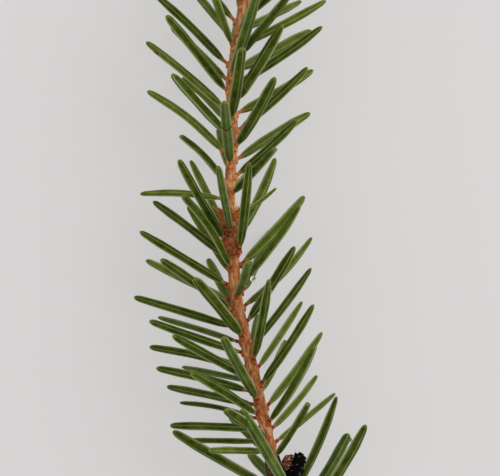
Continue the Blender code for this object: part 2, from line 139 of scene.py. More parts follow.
# Degrees by which a needle's spread falls along each half, and the shares of that it may have.
NEEDLE_BOW = 6.0
BOW_SHARES = (0.2, 1.2)

# Spread of a needle from the stem's direction, in degrees.
SPREAD = 50.8
SPREAD_TO_THE_RIGHT = 1.9
SPREAD_LOST_ON_TOP = 8.6
FOOT_FROM = -10.0
FOOT_SPREAD = 0.93
FOOT_SPREAD_TO_THE_RIGHT = 0.60
TIP_FROM = 29.0
TIP_TO = 38.0
TIP_CLOSING = 20.0
TIP_SHORTENING = 0.22
LEAN = ((-30.0, 0.0), (-24.0, 22.0), (-14.0, 20.0), (-3.0, 0.0), (3.0, -14.0))
TURN_JITTER, SPREAD_JITTER, LENGTH_JITTER = 2.0, 1.5, 0.03

# The twig stands on its lower needles, which end at the ground.
STEM_HEIGHT = 9.4
TIP_CLEARANCE = 0.2

# A needle that would touch another is turned step by step, or left out.
TURNS_TRIED = (0, 4, -4, 8, -8, 12, -12, 16, -16, 21, -21, 26, -26)
OWN_GAP = 0.04
OWN_ROOT_SHARE = 0.2
OTHER_GAP = 0.34
REACH = 16.0


def between(pairs: Pairs, at: float | Array) -> Any:
    """Reads a value between pairs of (place, value).

    Args:
        pairs: Places in rising order, each with its value.
        at: One place or an array of them.

    Returns:
        The value or values there, straight from one pair to the next.
    """
    places, values = zip(*pairs)
    return np.interp(at, places, values)


def smooth_step(low: float, high: float, at: float | Array) -> Any:
    """Rises smoothly from 0 at low to 1 at high.

    Args:
        low: Where the rise starts.
        high: Where it ends.
        at: One place or an array of them.

    Returns:
        The share or shares of the rise.
    """
    share = np.clip((at - low) / (high - low), 0.0, 1.0)
    return share * share * (3.0 - 2.0 * share)


def unit(vectors: Array) -> Array:
    """Vectors along the last axis, made one long."""
    return vectors / np.linalg.norm(vectors, axis=-1, keepdims=True)


def srgb(red: float, green: float, blue: float) -> Colour:
    """Turns display values into the linear colour that shaders take.

    Args:
        red: Display value of red, 0 to 255.
        green: The same for green.
        blue: The same for blue.

    Returns:
        Linear red, green and blue.
    """
    shares = (value / 255.0 for value in (red, green, blue))
    return tuple(s / 12.92 if s <= 0.04045 else ((s + 0.055) / 1.055) ** 2.4 for s in shares)


@dataclass(frozen=True)
class Stray:
    """How far one needle grew off the rule: degrees, degrees and a share of the length."""

    turn: float = 0.0
    opening: float = 0.0
    length: float = 1.0


# By the needles' numbers in their year.
SECOND_STRAYS = {
    1: Stray(-33, -10), 2: Stray(-18, 3, 0.96), 3: Stray(-35, 11, 0.86), 4: Stray(-13, 0, 0.97),
    5: Stray(7, 3), 6: Stray(2, 0, 0.9), 7: Stray(0, 2, 0.9), 8: Stray(-8, 0, 1.08), 9: Stray(-44, 2),
    10: Stray(-12, -10), 11: Stray(-16, -5, 1.02), 12: Stray(0, 0, 1.04), 13: Stray(10, -8),
    14: Stray(0, -6), 16: Stray(0, -4), 17: Stray(-20, 7), 18: Stray(9, 2), 19: Stray(-18, 0),
    20: Stray(0, 5), 21: Stray(-18, -6), 23: Stray(0, 5), 24: Stray(0, 0, 0.95), 25: Stray(-23, 1),
    27: Stray(-35, 4, 0.8), 28: Stray(0, 7, 1.06), 29: Stray(-50, 4, 1.04), 30: Stray(-12, -15),
    31: Stray(4, 6, 0.94), 32: Stray(-35, 7, 0.97), 33: Stray(-6, 8), 34: Stray(-11, 24),
    36: Stray(8, 8), 38: Stray(-11, -13), 39: Stray(6, 2), 40: Stray(0, -7), 42: Stray(5, -9),
    44: Stray(-18, -12), 45: Stray(-50, -12, 0.92), 46: Stray(4, -14), 47: Stray(0, 15),
    48: Stray(-17, 5, 0.87),
}
FIRST_STRAYS = {
    -1: Stray(-10, 36, 0.86), 0: Stray(12, 24), 1: Stray(5, 9), 2: Stray(0, 8, 0.72),
    3: Stray(0, -5, 0.8), 4: Stray(18, -1), 5: Stray(4, 16), 7: Stray(0, 6, 1.04), 8: Stray(10, 2, 0.96),
    10: Stray(-7, 14), 11: Stray(0, 0, 0.94), 13: Stray(-5, 13), 14: Stray(11, 6, 1.03),
    15: Stray(0, -2, 1.06), 16: Stray(0, 0, 0.94), 18: Stray(2, 6), 19: Stray(0, 7, 1.06),
    20: Stray(0, -4), 21: Stray(-10, 0), 22: Stray(10, 2, 1.02), 24: Stray(20, 6),
}


@dataclass(frozen=True)
class OldNeedle:
    """One of the few needles that the old wood has kept."""

    distance: float
    azimuth: float
    spread: float
    length: float


OLD_NEEDLES = (
    OldNeedle(-33.2, 188.0, 36.0, 1.10),
    OldNeedle(-34.5, 265.0, 60.0, 0.95),
    OldNeedle(-34.8, 95.0, 30.0, 1.02),
    OldNeedle(-35.2, 0.0, 56.0, 0.96),
    OldNeedle(-36.6, 215.0, 62.0, 0.95),
    OldNeedle(-37.4, 330.0, 67.0, 0.92),
    OldNeedle(-38.4, 5.0, 66.0, 1.00),
    OldNeedle(-38.9, 122.0, 52.0, 0.90),
    OldNeedle(-39.5, 252.0, 58.0, 0.90),
)


@dataclass(frozen=True)
class Spiral:
    """Rule by which one year's needles follow each other up and round the shoot."""

    lowest: float
    spacing: float
    spacing_growth: float
    azimuth: float
    divergence: float
    first: int
    last: int
    bottom: float
    top: float
    strays: dict[int, Stray] = field(default_factory=dict)

    def place(self, number: int) -> tuple[float, float]:
        """Finds a needle's place.

        Args:
            number: Its number in the order of growth.

        Returns:
            Its distance along the stem and its azimuth in degrees.
        """
        distance = self.lowest + self.spacing * number + 0.5 * self.spacing_growth * number**2
        azimuth = (self.azimuth - self.divergence * number) % 360.0
        return min(max(distance, self.bottom), self.top), azimuth


# Room between a shoot's ends and the middle of its first and last pegs.
SECOND_PEG_ROOM = (0.35, 0.45)
FIRST_PEG_ROOM = (1.1, 0.4)

SECOND_SPIRAL = Spiral(
    lowest=-30.0,
    spacing=0.561,
    spacing_growth=0.0031,
    azimuth=54.8,
    divergence=136.94,
    first=0,
    last=48,
    bottom=SECOND_FOOT + SECOND_PEG_ROOM[0],
    top=SECOND_TOP - SECOND_PEG_ROOM[1],
    strays=SECOND_STRAYS,
)
FIRST_SPIRAL = Spiral(
    lowest=3.59,
    spacing=0.73,
    spacing_growth=-0.00225,
    azimuth=62.0,
    divergence=135.71,
    first=-1,
    last=51,
    bottom=CUP_RIM + FIRST_PEG_ROOM[0],
    top=FIRST_TOP - FIRST_PEG_ROOM[1],
    strays=FIRST_STRAYS,
)


@dataclass(frozen=True)
class Plan:
    """What a needle grows from: its number, the stem's radius, its place and its shape."""

    number: int
    radius: float
    distance: float
    azimuth: float
    spread: float
    length: float
    bow: float


class Axis:
    """A straight line through a bud, with directions to its right and over it."""

    def __init__(self, foot: Array, ahead: Array) -> None:
        """Stands the line on a point.

        Args:
            foot: The point at distance 0.
            ahead: Unit vector along the line.
        """
        self.foot = foot
        self.ahead = ahead
        self.to_right = unit(np.cross(ahead, UP))
        self.over = np.cross(self.to_right, ahead)

    def frame(self) -> Array:
        """Directions ahead, to the right and over, one in each row."""
        return np.stack((self.ahead, self.to_right, self.over))

    def place(self, distance: Array, turn: Array, radius: Array) -> Array:
        """Finds points round the line.

        Args:
            distance: Distances along it.
            turn: Turns round it, in radians.
            radius: Distances from it.

        Returns:
            The points, one in each row.
        """
        across = self.to_right * np.cos(turn)[:, None] + self.over * np.sin(turn)[:, None]
        return self.foot + self.ahead * distance[:, None] + across * radius[:, None]


class StemLine:
    """Middle line of the stem, level and bending from side to side."""

    def __init__(self) -> None:
        """Walks the line from the cut and then sets its zero at the node."""
        steps = int((BENDS[-1][0] - CUT) / BEND_STEP)
        self.marks = CUT + BEND_STEP * np.arange(steps + 1)
        strides = self.direction(self.marks[:-1] + 0.5 * BEND_STEP) * BEND_STEP
        self.points = np.vstack((np.zeros(3), np.cumsum(strides, axis=0)))
        self.points = self.points - self.point(0.0)

    def direction(self, distance: float | Array) -> Array:
        """Unit vectors along the stem."""
        heading = np.radians(between(BENDS, distance))
        return np.stack((np.sin(heading), np.cos(heading), np.zeros_like(heading)), axis=-1)

    def right(self, distance: float | Array) -> Array:
        """Unit vectors to the right of the stem."""
        return np.cross(self.direction(distance), UP)

    def point(self, distance: float | Array) -> Array:
        """Finds points on the middle line, carried straight on past its ends.

        Args:
            distance: Distances along the line.

        Returns:
            The points, one in each row.
        """
        inside = np.clip(distance, self.marks[0], self.marks[-1])
        walked = [np.interp(inside, self.marks, self.points[:, axis]) for axis in range(3)]
        beyond = np.asarray(distance - inside)[..., None]
        return np.stack(walked, axis=-1) + self.direction(distance) * beyond

    def radial(self, distance: float | Array, turn: float | Array) -> Array:
        """Unit vectors straight out of the stem, at a turn in radians."""
        turn = np.asarray(turn)[..., None]
        return self.right(distance) * np.cos(turn) + UP * np.sin(turn)

    def outward(self, distance: float, azimuth: float, spread: float | Array) -> Array:
        """Unit vectors that leave the stem's direction by the spread.

        Args:
            distance: Where on the stem.
            azimuth: Side of the stem, in degrees.
            spread: One angle in degrees or an array of them.

        Returns:
            One vector, or one in each row.
        """
        opening = np.radians(np.asarray(spread))[..., None]
        radial = self.radial(distance, math.radians(azimuth))
        return self.direction(distance) * np.cos(opening) + radial * np.sin(opening)

    def sidestep(self, distance: float | Array) -> Array:
        """How far the young shoot stands beside the line, as a vector."""
        return self.right(distance) * np.asarray(between(SIDESTEPS, distance))[..., None]

    def place(self, distance: Array, turn: Array, radius: Array) -> Array:
        """Finds points round the stem.

        Args:
            distance: Distances along it.
            turn: Turns round it, in radians.
            radius: Distances from its middle line.

        Returns:
            The points, one in each row.
        """
        centre = self.point(distance) + self.sidestep(distance)
        return centre + self.radial(distance, turn) * radius[:, None]


class Crowd:
    """Round stretches of what already has its place, to keep new needles clear of it.

    A row holds a stretch's start, its end, the radius at each and the middle of its whole line.
    """

    COLUMNS = 11

    def __init__(self) -> None:
        """Starts empty."""
        self.masses: list[str] = []
        self.rows = np.zeros((0, self.COLUMNS))

    def add(self, mass: str, points: Array, radii: Array) -> None:
        """Adds a line.

        Args:
            mass: The mass that it belongs to.
            points: Its points.
            radii: Its radius at each of them.
        """
        count = len(points) - 1
        middle = np.repeat(points[len(points) // 2][None], count, axis=0)
        ends = radii[:-1, None], radii[1:, None]
        self.rows = np.vstack((self.rows, np.hstack((points[:-1], points[1:], *ends, middle))))
        self.masses += [mass] * count

    def is_clear(self, mass: str, points: Array, radii: Array) -> bool:
        """Tests a new needle.

        Args:
            mass: The mass that it would belong to.
            points: Its points.
            radii: Its radius at each of them.

        Returns:
            True where it keeps its gap to every stretch.
        """
        own = np.array([other == mass for other in self.masses])
        starts, ends = self.rows[:, 0:3], self.rows[:, 3:6]
        along = ends - starts
        length = np.linalg.norm(along, axis=1)
        offset = points[:, None] - starts[None]
        travel = (offset * along).sum(axis=2) / length
        out = np.sqrt(np.maximum((offset**2).sum(axis=2) - travel**2, 0.0))
        share = np.clip(travel / length, 0.0, 1.0)
        beside = out - (self.rows[:, 6] + (self.rows[:, 7] - self.rows[:, 6]) * share)
        past_end = np.maximum(np.maximum(-travel, travel - length), 0.0)
        gap = np.where(past_end > 0.0, np.hypot(past_end, np.maximum(beside, 0.0)), beside)
        near = np.linalg.norm(self.rows[:, 8:11] - points[len(points) // 2], axis=1) <= REACH
        past_root = np.arange(len(points)) >= round(OWN_ROOT_SHARE * len(points))
        counted = near & (~own | past_root[:, None])
        needed = radii[:, None] + np.where(own, OWN_GAP, OTHER_GAP)
        return not bool((counted & (gap < needed)).any())


@dataclass(frozen=True)
class Needle:
    """Line and frame of one grown needle, from its foot on the wood to its tip."""

    plan: Plan
    root: Array
    foot: Array
    line: Array
    side: Array
    sidestep: Array
    length: float

    def peg_share(self) -> float:
        """Share of the length that the peg takes."""
        return PEG_LENGTH / self.length

    def radii(self) -> Array:
        """Works out half widths along the line, for the test against its neighbours.

        Returns:
            A half width for each point.
        """
        share = np.linspace(0.0, 1.0, len(self.line))
        peg = self.peg_share()
        blade = 0.5 * NEEDLE_WIDTH * between(NEEDLE_OUTLINE, (share - peg) / (1.0 - peg))
        return np.where(share <= peg, PEG_RADIUS, blade)

    def point(self, share: Array) -> Array:
        """Points on the needle's line, one in each row."""
        steps = np.linspace(0.0, 1.0, len(self.line))
        return np.stack([np.interp(share, steps, self.line[:, axis]) for axis in range(3)], axis=-1)

    def frames(self, share: Array) -> tuple[Array, Array, Array]:
        """Finds where the needle's sections stand.

        Args:
            share: Shares of the length.

        Returns:
            Middle points and unit vectors across and over the needle.
        """
        before = self.point(np.maximum(share - HEADING_REACH, 0.0))
        ahead = self.point(np.minimum(share + HEADING_REACH, 1.0)) - before
        lost = (ahead @ self.side) / (ahead**2).sum(axis=1)
        across = unit(self.side - ahead * lost[:, None])
        middle = self.point(share) + self.sidestep * ((1.0 - share) ** 2)[:, None]
        return middle, across, unit(np.cross(across, ahead))


def grow_needle(stem: StemLine, plan: Plan, turn: float) -> Needle:
    """Grows a needle that bows forward and ends at the ground where it would pass it.

    Args:
        stem: The stem that carries it.
        plan: What it grows from.
        turn: Degrees by which it is turned round the stem.

    Returns:
        The needle.
    """
    azimuth = plan.azimuth + turn
    radial = stem.radial(plan.distance, math.radians(azimuth))
    middle = stem.point(plan.distance)
    foot = middle + radial * plan.radius
    root = middle + radial * (plan.radius - ROOT_DEPTH)
    length = plan.length
    share = (np.arange(NEEDLE_STEPS) + 0.5) / NEEDLE_STEPS
    headings = stem.outward(plan.distance, azimuth, plan.spread + plan.bow * (1.0 - 2.0 * share))
    strides = np.cumsum(headings * (length / NEEDLE_STEPS), axis=0)
    line = foot + np.vstack((np.zeros(3), strides))
    drop = foot[2] - line[-1, 2]
    room = foot[2] + STEM_HEIGHT - TIP_CLEARANCE
    if drop > room:
        length *= room / drop
        line = foot + (line - foot) * (room / drop)
    side = np.cross(stem.direction(plan.distance), radial)
    grown = Plan(plan.number, plan.radius, plan.distance, azimuth, plan.spread, length, plan.bow)
    return Needle(grown, root, foot, line, side, stem.sidestep(plan.distance), length)


def usual_spread(distance: float, azimuth: float) -> float:
    """Works out a needle's spread by the rule.

    Args:
        distance: Where on the stem it grows.
        azimuth: On which side of the stem, in degrees.

    Returns:
        The spread in degrees.
    """
    to_the_right = math.cos(math.radians(azimuth))
    upward = math.sin(math.radians(azimuth))
    foot = max(0.0, FOOT_FROM - distance)
    spread = SPREAD + SPREAD_TO_THE_RIGHT * to_the_right - SPREAD_LOST_ON_TOP * upward
    spread += foot * (FOOT_SPREAD - FOOT_SPREAD_TO_THE_RIGHT * to_the_right)
    return spread - TIP_CLOSING * smooth_step(TIP_FROM, TIP_TO, distance)


def spiral_plans(spiral: Spiral, radii: Pairs, chance: random.Random) -> list[Plan]:
    """Plans the needles of one year's shoot.

    Args:
        spiral: The rule that they follow.
        radii: The stem's radius along the shoot.
        chance: Source of the small differences.

    Returns:
        The plans in the order of growth.
    """
    plans = []
    for number in range(spiral.first, spiral.last + 1):
        distance, azimuth = spiral.place(number)
        stray = spiral.strays.get(number, Stray())
        spread = usual_spread(distance, azimuth) + stray.opening + chance.uniform(-1, 1) * SPREAD_JITTER
        shorter = 1.0 - TIP_SHORTENING * smooth_step(TIP_FROM, TIP_TO, distance)
        length = NEEDLE_LENGTH * stray.length * shorter * (1.0 + chance.uniform(-1, 1) * LENGTH_JITTER)
        leaning = between(LEAN, distance) * max(0.0, math.sin(math.radians(azimuth)))
        azimuth += leaning + stray.turn + chance.uniform(-1, 1) * TURN_JITTER
        bow = NEEDLE_BOW * chance.uniform(*BOW_SHARES)
        radius = between(radii, distance)
        plans.append(Plan(number, radius, distance, azimuth, spread, length, bow))
    return plans


def old_wood_plans() -> list[Plan]:
    """Plans the needles that the old wood has kept.

    Returns:
        The plans.
    """
    plans = []
    for number, kept in enumerate(OLD_NEEDLES):
        radius = between(OLD_WOOD_RADII, kept.distance)
        length = NEEDLE_LENGTH * kept.length
        plans.append(Plan(number, radius, kept.distance, kept.azimuth, kept.spread, length, NEEDLE_BOW))
    return plans


def clear_needles(stem: StemLine, crowd: Crowd, mass: str, plans: Iterable[Plan]) -> list[Needle]:
    """Grows needles one after another, each at the first turn that keeps it clear.

    Args:
        stem: The stem that carries them.
        crowd: What has its place already; the new needles join it.
        mass: The mass that they belong to.
        plans: What they grow from.

    Returns:
        The needles that found room.
    """
    needles = []
    for plan in plans:
        for turn in TURNS_TRIED:
            needle = grow_needle(stem, plan, turn)
            points, radii = needle.line[1::2], needle.radii()[1::2]
            if crowd.is_clear(mass, points, radii):
                crowd.add(mass, points, radii)
                needles.append(needle)
                break
    return needles


# Buds: share of the length and of the radius, and the waves of a crumbled bud's lumps.
BUD_SIDES = 10
BUD_OUTLINE = ((0.0, 0.5), (0.12, 0.78), (0.32, 1.0), (0.58, 0.84), (0.82, 0.48), (0.97, 0.14))
LUMP_WAVES = ((3, 2.1, 1.0), (5, -1.0, 0.6))


@dataclass(frozen=True)
class BudSeat:
    """Where a bud stands: distance of its foot, side, opening, length, radius and lumps."""

    name: str
    distance: float
    azimuth: float
    spread: float
    length: float
    radius: float
    lumps: float = 0.0

    def axis(self, stem: StemLine, stem_radii: Pairs) -> Axis:
        """Finds the bud's middle line, which starts a seat gap clear of the stem.

        Args:
            stem: The stem that carries it.
            stem_radii: The stem's radius along that stretch.

        Returns:
            The line.
        """
        opening = math.radians(self.spread)
        foot = stem.point(self.distance)
        if self.spread:
            foot_radius = self.radius * BUD_OUTLINE[0][1]
            stem_radius = between(stem_radii, self.distance + foot_radius * math.sin(opening))
            out = stem_radius + SEAT_GAP + foot_radius * math.cos(opening)
            foot = foot + stem.radial(self.distance, math.radians(self.azimuth)) * out
        return Axis(foot, stem.outward(self.distance, self.azimuth, self.spread))

    def rings(self, axis: Axis) -> list[Array]:
        """Makes the rings of the bud's solid, from its foot to its tip.

        Args:
            axis: The bud's middle line.

        Returns:
            The rings.
        """
        turns = TAU * np.arange(BUD_SIDES) / BUD_SIDES
        rings = []
        for step, (share, width) in enumerate(BUD_OUTLINE):
            waves = (high * np.sin(count * turns + lag * step) for count, lag, high in LUMP_WAVES)
            lump = sum(waves)
            radii = self.radius * width * (1.0 + self.lumps * lump)
            rings.append(axis.place(np.full(BUD_SIDES, self.length * share), turns, radii))
        return rings


BUD_SEATS = (
    BudSeat("terminal_bud", FIRST_TOP + SEAT_GAP, 90.0, 0.0, 3.2, 1.05),
    BudSeat("side_bud_left", 36.4, 176.0, 38.0, 2.3, 0.78),
    BudSeat("side_bud_right", 35.6, 4.0, 40.0, 2.2, 0.74),
)
DEAD_SEAT = BudSeat("dead_side_bud", -31.9, 8.0, 52.0, 3.0, 1.42, 0.13)


class Mass(Enum):
    """The three needled stretches of the twig."""

    OLD = "old_wood"
    SECOND = "second_year_shoot"
    FIRST = "first_year_shoot"


@dataclass(frozen=True)
class Stretch:
    """Radii and ends of one needled stretch of stem."""

    mass: Mass
    radii: Pairs
    foot: float
    top: float


STRETCHES = (
    Stretch(Mass.OLD, OLD_WOOD_RADII, CUT, OLD_WOOD_TOP),
    Stretch(Mass.SECOND, SECOND_RADII, SECOND_FOOT, SECOND_TOP),
    Stretch(Mass.FIRST, FIRST_RADII, FIRST_FOOT, FIRST_TOP),
)


class Growth:
    """The whole twig as lines and places: stem, bud axes and needles."""

    def __init__(self) -> None:
        """Grows the twig by the rule that its solids follow, and finds it in the frame."""
        self.stem = StemLine()
        crowd = Crowd()
        chance = random.Random(SEED)
        for stretch in STRETCHES:
            self._add_stem(crowd, stretch.mass.value, stretch.radii, stretch.foot, stretch.top)
        cup_radii = ((CUP_FOOT, CUP_FOOT_RADIUS), (CUP_RIM, CUP_RIM_RADIUS))
        self._add_stem(crowd, "bud_scale_cup", cup_radii, CUP_FOOT, CUP_RIM)
        self.axes: dict[str, Axis] = {}
        for seat in (*BUD_SEATS, DEAD_SEAT):
            axis = seat.axis(self.stem, OLD_WOOD_RADII if seat is DEAD_SEAT else FIRST_RADII)
            self.axes[seat.name] = axis
            rings = seat.rings(axis)
            centres = np.array([ring.mean(axis=0) for ring in rings])
            reaches = [np.linalg.norm(ring - mid, axis=1).max() for ring, mid in zip(rings, centres)]
            crowd.add(seat.name, centres, np.array(reaches))
        plans = {
            Mass.OLD: old_wood_plans(),
            Mass.SECOND: spiral_plans(SECOND_SPIRAL, SECOND_RADII, chance),
            Mass.FIRST: spiral_plans(FIRST_SPIRAL, FIRST_RADII, chance),
        }
        self.needles = {
            mass: clear_needles(self.stem, crowd, mass.value, grown) for mass, grown in plans.items()
        }
        self.origin = self._find_origin()

    def _add_stem(self, crowd: Crowd, name: str, radii: Pairs, foot: float, top: float) -> None:
        """Adds a stretch of stem to the crowd, piece by piece.

        Args:
            crowd: What it is added to.
            name: The mass that it belongs to.
            radii: Its radius along the stem.
            foot: Distance of its lower end.
            top: Distance of its upper end.
        """
        count = max(2, round((top - foot) / STEM_RING_STEP))
        ends = foot + (top - foot) * np.arange(count + 1) / count
        for low, high in zip(ends, ends[1:]):
            pair = np.array((low, high))
            crowd.add(name, self.stem.point(pair), between(radii, pair))

    def _find_origin(self) -> Array:
        """Finds the node's zero point in the frame, in millimetres, by the end bud's box.

        Returns:
            The point.
        """
        seat = BUD_SEATS[0]
        low = np.min(np.vstack(seat.rings(self.axes[seat.name])), axis=0)
        return np.array(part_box(seat.name)[0]) / MM - low


@dataclass
class Shape:
    """Points and faces of a mesh, with named values at its points."""

    points: Array
    corners: Array
    counts: Array
    values: dict[str, Array] = field(default_factory=dict)
    looks: Array | None = None
    maps: dict[str, Array] = field(default_factory=dict)

    @staticmethod
    def read(thing: Piece) -> "Shape":
        """Reads an object's mesh and removes the object.

        Args:
            thing: A mesh object.

        Returns:
            Its shape, in the units of its mesh.
        """
        mesh = thing.data
        points = np.empty(len(mesh.vertices) * 3)
        mesh.vertices.foreach_get("co", points)
        corners = np.empty(len(mesh.loops), dtype=np.int64)
        mesh.loops.foreach_get("vertex_index", corners)
        counts = np.array([face.loop_total for face in mesh.polygons])
        bpy.data.objects.remove(thing)
        return Shape(points.reshape(-1, 3), corners, counts)

    @staticmethod
    def join(shapes: Sequence["Shape"]) -> "Shape":
        """Joins shapes that hold the same values and maps.

        Args:
            shapes: What to join.

        Returns:
            One shape.
        """
        starts = np.cumsum([0] + [len(shape.points) for shape in shapes[:-1]])
        corners = [shape.corners + start for shape, start in zip(shapes, starts)]
        looks = [shape.looks for shape in shapes if shape.looks is not None]
        return Shape(
            np.vstack([shape.points for shape in shapes]),
            np.concatenate(corners),
            np.concatenate([shape.counts for shape in shapes]),
            {key: np.concatenate([s.values[key] for s in shapes]) for key in shapes[0].values},
            np.concatenate(looks) if looks else None,
            {key: np.vstack([s.maps[key] for s in shapes]) for key in shapes[0].maps},
        )

    def moved(self, points: Array, **values: Array) -> "Shape":
        """A copy with its points elsewhere and with more values."""
        held = {**self.values, **values}
        return Shape(points, self.corners, self.counts, held, self.looks, dict(self.maps))

    def build(self, name: str, finishes: Sequence[Material], origin: Array) -> Piece:
        """Makes the object, with its place in its mesh.

        Args:
            name: Name of the object and its mesh.
            finishes: Its materials, in the order that looks counts them.
            origin: Where the shape's zero lies in the frame, in millimetres.

        Returns:
            The object, shaded smooth.
        """
        mesh = bpy.data.meshes.new(name)
        mesh.vertices.add(len(self.points))
        mesh.vertices.foreach_set("co", ((self.points + origin) * MM).ravel())
        mesh.loops.add(len(self.corners))
        mesh.loops.foreach_set("vertex_index", self.corners.astype(np.int32))
        mesh.polygons.add(len(self.counts))
        starts = np.concatenate(((0,), np.cumsum(self.counts)[:-1]))
        mesh.polygons.foreach_set("loop_start", starts.astype(np.int32))
        mesh.update(calc_edges=True)
        for key, values in self.values.items():
            layer = mesh.attributes.new(key, "FLOAT", "POINT")
            layer.data.foreach_set("value", values.astype(np.float32))
        for key, spots in self.maps.items():
            layer = mesh.uv_layers.new(name=key)
            layer.data.foreach_set("uv", spots.astype(np.float32).ravel())
        for finish in finishes:
            mesh.materials.append(finish)
        if self.looks is not None:
            mesh.polygons.foreach_set("material_index", self.looks.astype(np.int32))
        mesh.shade_smooth()
        mesh.validate()
        thing = bpy.data.objects.new(name, mesh)
        bpy.context.scene.collection.objects.link(thing)
        return thing


class Workbench:
    """Blender's own modelling tools, as used by hand."""

    @staticmethod
    def clear() -> None:
        """Deselects everything, in object mode."""
        if bpy.context.object and bpy.context.object.mode != "OBJECT":
            bpy.ops.object.mode_set(mode="OBJECT")
        bpy.ops.object.select_all(action="DESELECT")

    @staticmethod
    def edit() -> None:
        """Opens the newest object in edit mode, with all of it selected."""
        bpy.ops.object.mode_set(mode="EDIT")
        bpy.ops.mesh.select_all(action="SELECT")

    @staticmethod
    def close_ends() -> None:
        """Closes both open ends of a wall with triangles that meet in the middle."""
        bpy.ops.mesh.select_all(action="DESELECT")
        bpy.ops.mesh.select_mode(type="EDGE")
        bpy.ops.mesh.select_non_manifold()
        bpy.ops.mesh.edge_face_add()
        bpy.ops.mesh.select_all(action="DESELECT")
        bpy.ops.mesh.select_mode(type="FACE")
        bpy.ops.mesh.select_face_by_sides(number=4, type="GREATER")
        bpy.ops.mesh.poke()
        bpy.ops.mesh.select_mode(type="VERT")

    @staticmethod
    def take() -> Shape:
        """Turns the faces outwards, leaves edit mode and takes the shape.

        Returns:
            The shape.
        """
        bpy.ops.mesh.select_all(action="SELECT")
        bpy.ops.mesh.normals_make_consistent(inside=False)
        bpy.ops.object.mode_set(mode="OBJECT")
        return Shape.read(bpy.context.object)

    @classmethod
    def lathe(cls, sides: int, rings: Pairs, section: Callable[[Array], Array] | None = None) -> Shape:
        """Models a closed spindle of length 1 by extruding and scaling a circle.

        Args:
            sides: Corners of its section.
            rings: Share of the length and radius of each ring; the ends are closed.
            section: Turns the circle's points into another section.

        Returns:
            The spindle, standing along Z.
        """
        cls.clear()
        bpy.ops.mesh.primitive_circle_add(vertices=sides, radius=1.0, fill_type="NOTHING")
        if section:
            for vertex in bpy.context.object.data.vertices:
                vertex.co = Vector(section(np.array(vertex.co)))
        cls.edit()
        height, width = rings[0]
        bpy.ops.transform.resize(value=(width, width, 1.0), center_override=(0.0, 0.0, 0.0))
        bpy.ops.transform.translate(value=(0.0, 0.0, height))
        for share, radius in rings[1:]:
            rise = {"value": (0.0, 0.0, share - height)}
            bpy.ops.mesh.extrude_region_move(TRANSFORM_OT_translate=rise)
            ratio = radius / width
            bpy.ops.transform.resize(value=(ratio, ratio, 1.0), center_override=(0.0, 0.0, share))
            height, width = share, radius
        cls.close_ends()
        return cls.take()

    @classmethod
    def tube(cls, sides: int, rings: int) -> Shape:
        """Models a closed tube of radius 1 and length 1 from a wrapped grid.

        Args:
            sides: Faces round it.
            rings: Faces along it.

        Returns:
            The tube, standing along Z.
        """
        cls.clear()
        bpy.ops.mesh.primitive_grid_add(x_subdivisions=sides, y_subdivisions=rings, size=2.0)
        vertices = bpy.context.object.data.vertices
        spots = np.empty(len(vertices) * 3)
        vertices.foreach_get("co", spots)
        turn, height = (spots[0::3] + 1.0) * math.pi, 0.5 * (spots[1::3] + 1.0)
        wrapped = np.stack((np.cos(turn), np.sin(turn), height), axis=-1)
        vertices.foreach_set("co", wrapped.ravel())
        cls.edit()
        bpy.ops.mesh.remove_doubles(threshold=WELD)
        cls.close_ends()
        return cls.take()

    @classmethod
    def scale(cls, across: int, along: int, outline: Pairs, thickness: float) -> Shape:
        """Models a thin scale of width 2 and length 1, cut to an outline and made solid.

        Args:
            across: Faces across it.
            along: Faces along it.
            outline: Share of the length and half width there.
            thickness: Its thickness, in shares of its length.

        Returns:
            The scale, lying along Y with its outer side up.
        """
        cls.clear()
        bpy.ops.mesh.primitive_grid_add(x_subdivisions=across, y_subdivisions=along, size=2.0)
        thing = bpy.context.object
        for vertex in thing.data.vertices:
            share = 0.5 * (vertex.co.y + 1.0)
            vertex.co = (vertex.co.x * between(outline, share), share, 0.0)
        solid = thing.modifiers.new("Thickness", "SOLIDIFY")
        solid.thickness = thickness
        solid.offset = -1.0
        bpy.ops.object.modifier_apply(modifier=solid.name)
        return Shape.read(thing)

    @classmethod
    def hair(cls) -> Shape:
        """Models one thin three-sided point of radius 1 and length 1, standing along Z.

        Returns:
            The hair.
        """
        cls.clear()
        size = {"radius1": 1.0, "radius2": 0.0, "depth": 1.0}
        bpy.ops.mesh.primitive_cone_add(vertices=3, location=(0.0, 0.0, 0.5), **size)
        bpy.ops.object.transform_apply(location=True)
        return Shape.read(bpy.context.object)

    @classmethod
    def ball(cls, fineness: int) -> Shape:
        """Models a ball of radius 1 whose faces are even.

        Args:
            fineness: How often its faces are divided.

        Returns:
            The ball.
        """
        cls.clear()
        bpy.ops.mesh.primitive_ico_sphere_add(subdivisions=fineness, radius=1.0)
        cls.edit()
        return cls.take()


def round_places(points: Array) -> tuple[Array, Array, Array]:
    """Reads points round the Z axis as distance out, turn and height."""
    return np.hypot(points[:, 0], points[:, 1]), np.arctan2(points[:, 1], points[:, 0]), points[:, 2]


def rough(points: Array, size: float, octaves: int = 4) -> Array:
    """Fractal roughness of places in space.

    Args:
        points: The places.
        size: Length of the largest waves.
        octaves: How many finer waves follow.

    Returns:
        A value from about -1 to 1 for each place.
    """
    return np.array([noise.fractal(Vector(p), 1.0, 2.0, octaves) for p in points / size])


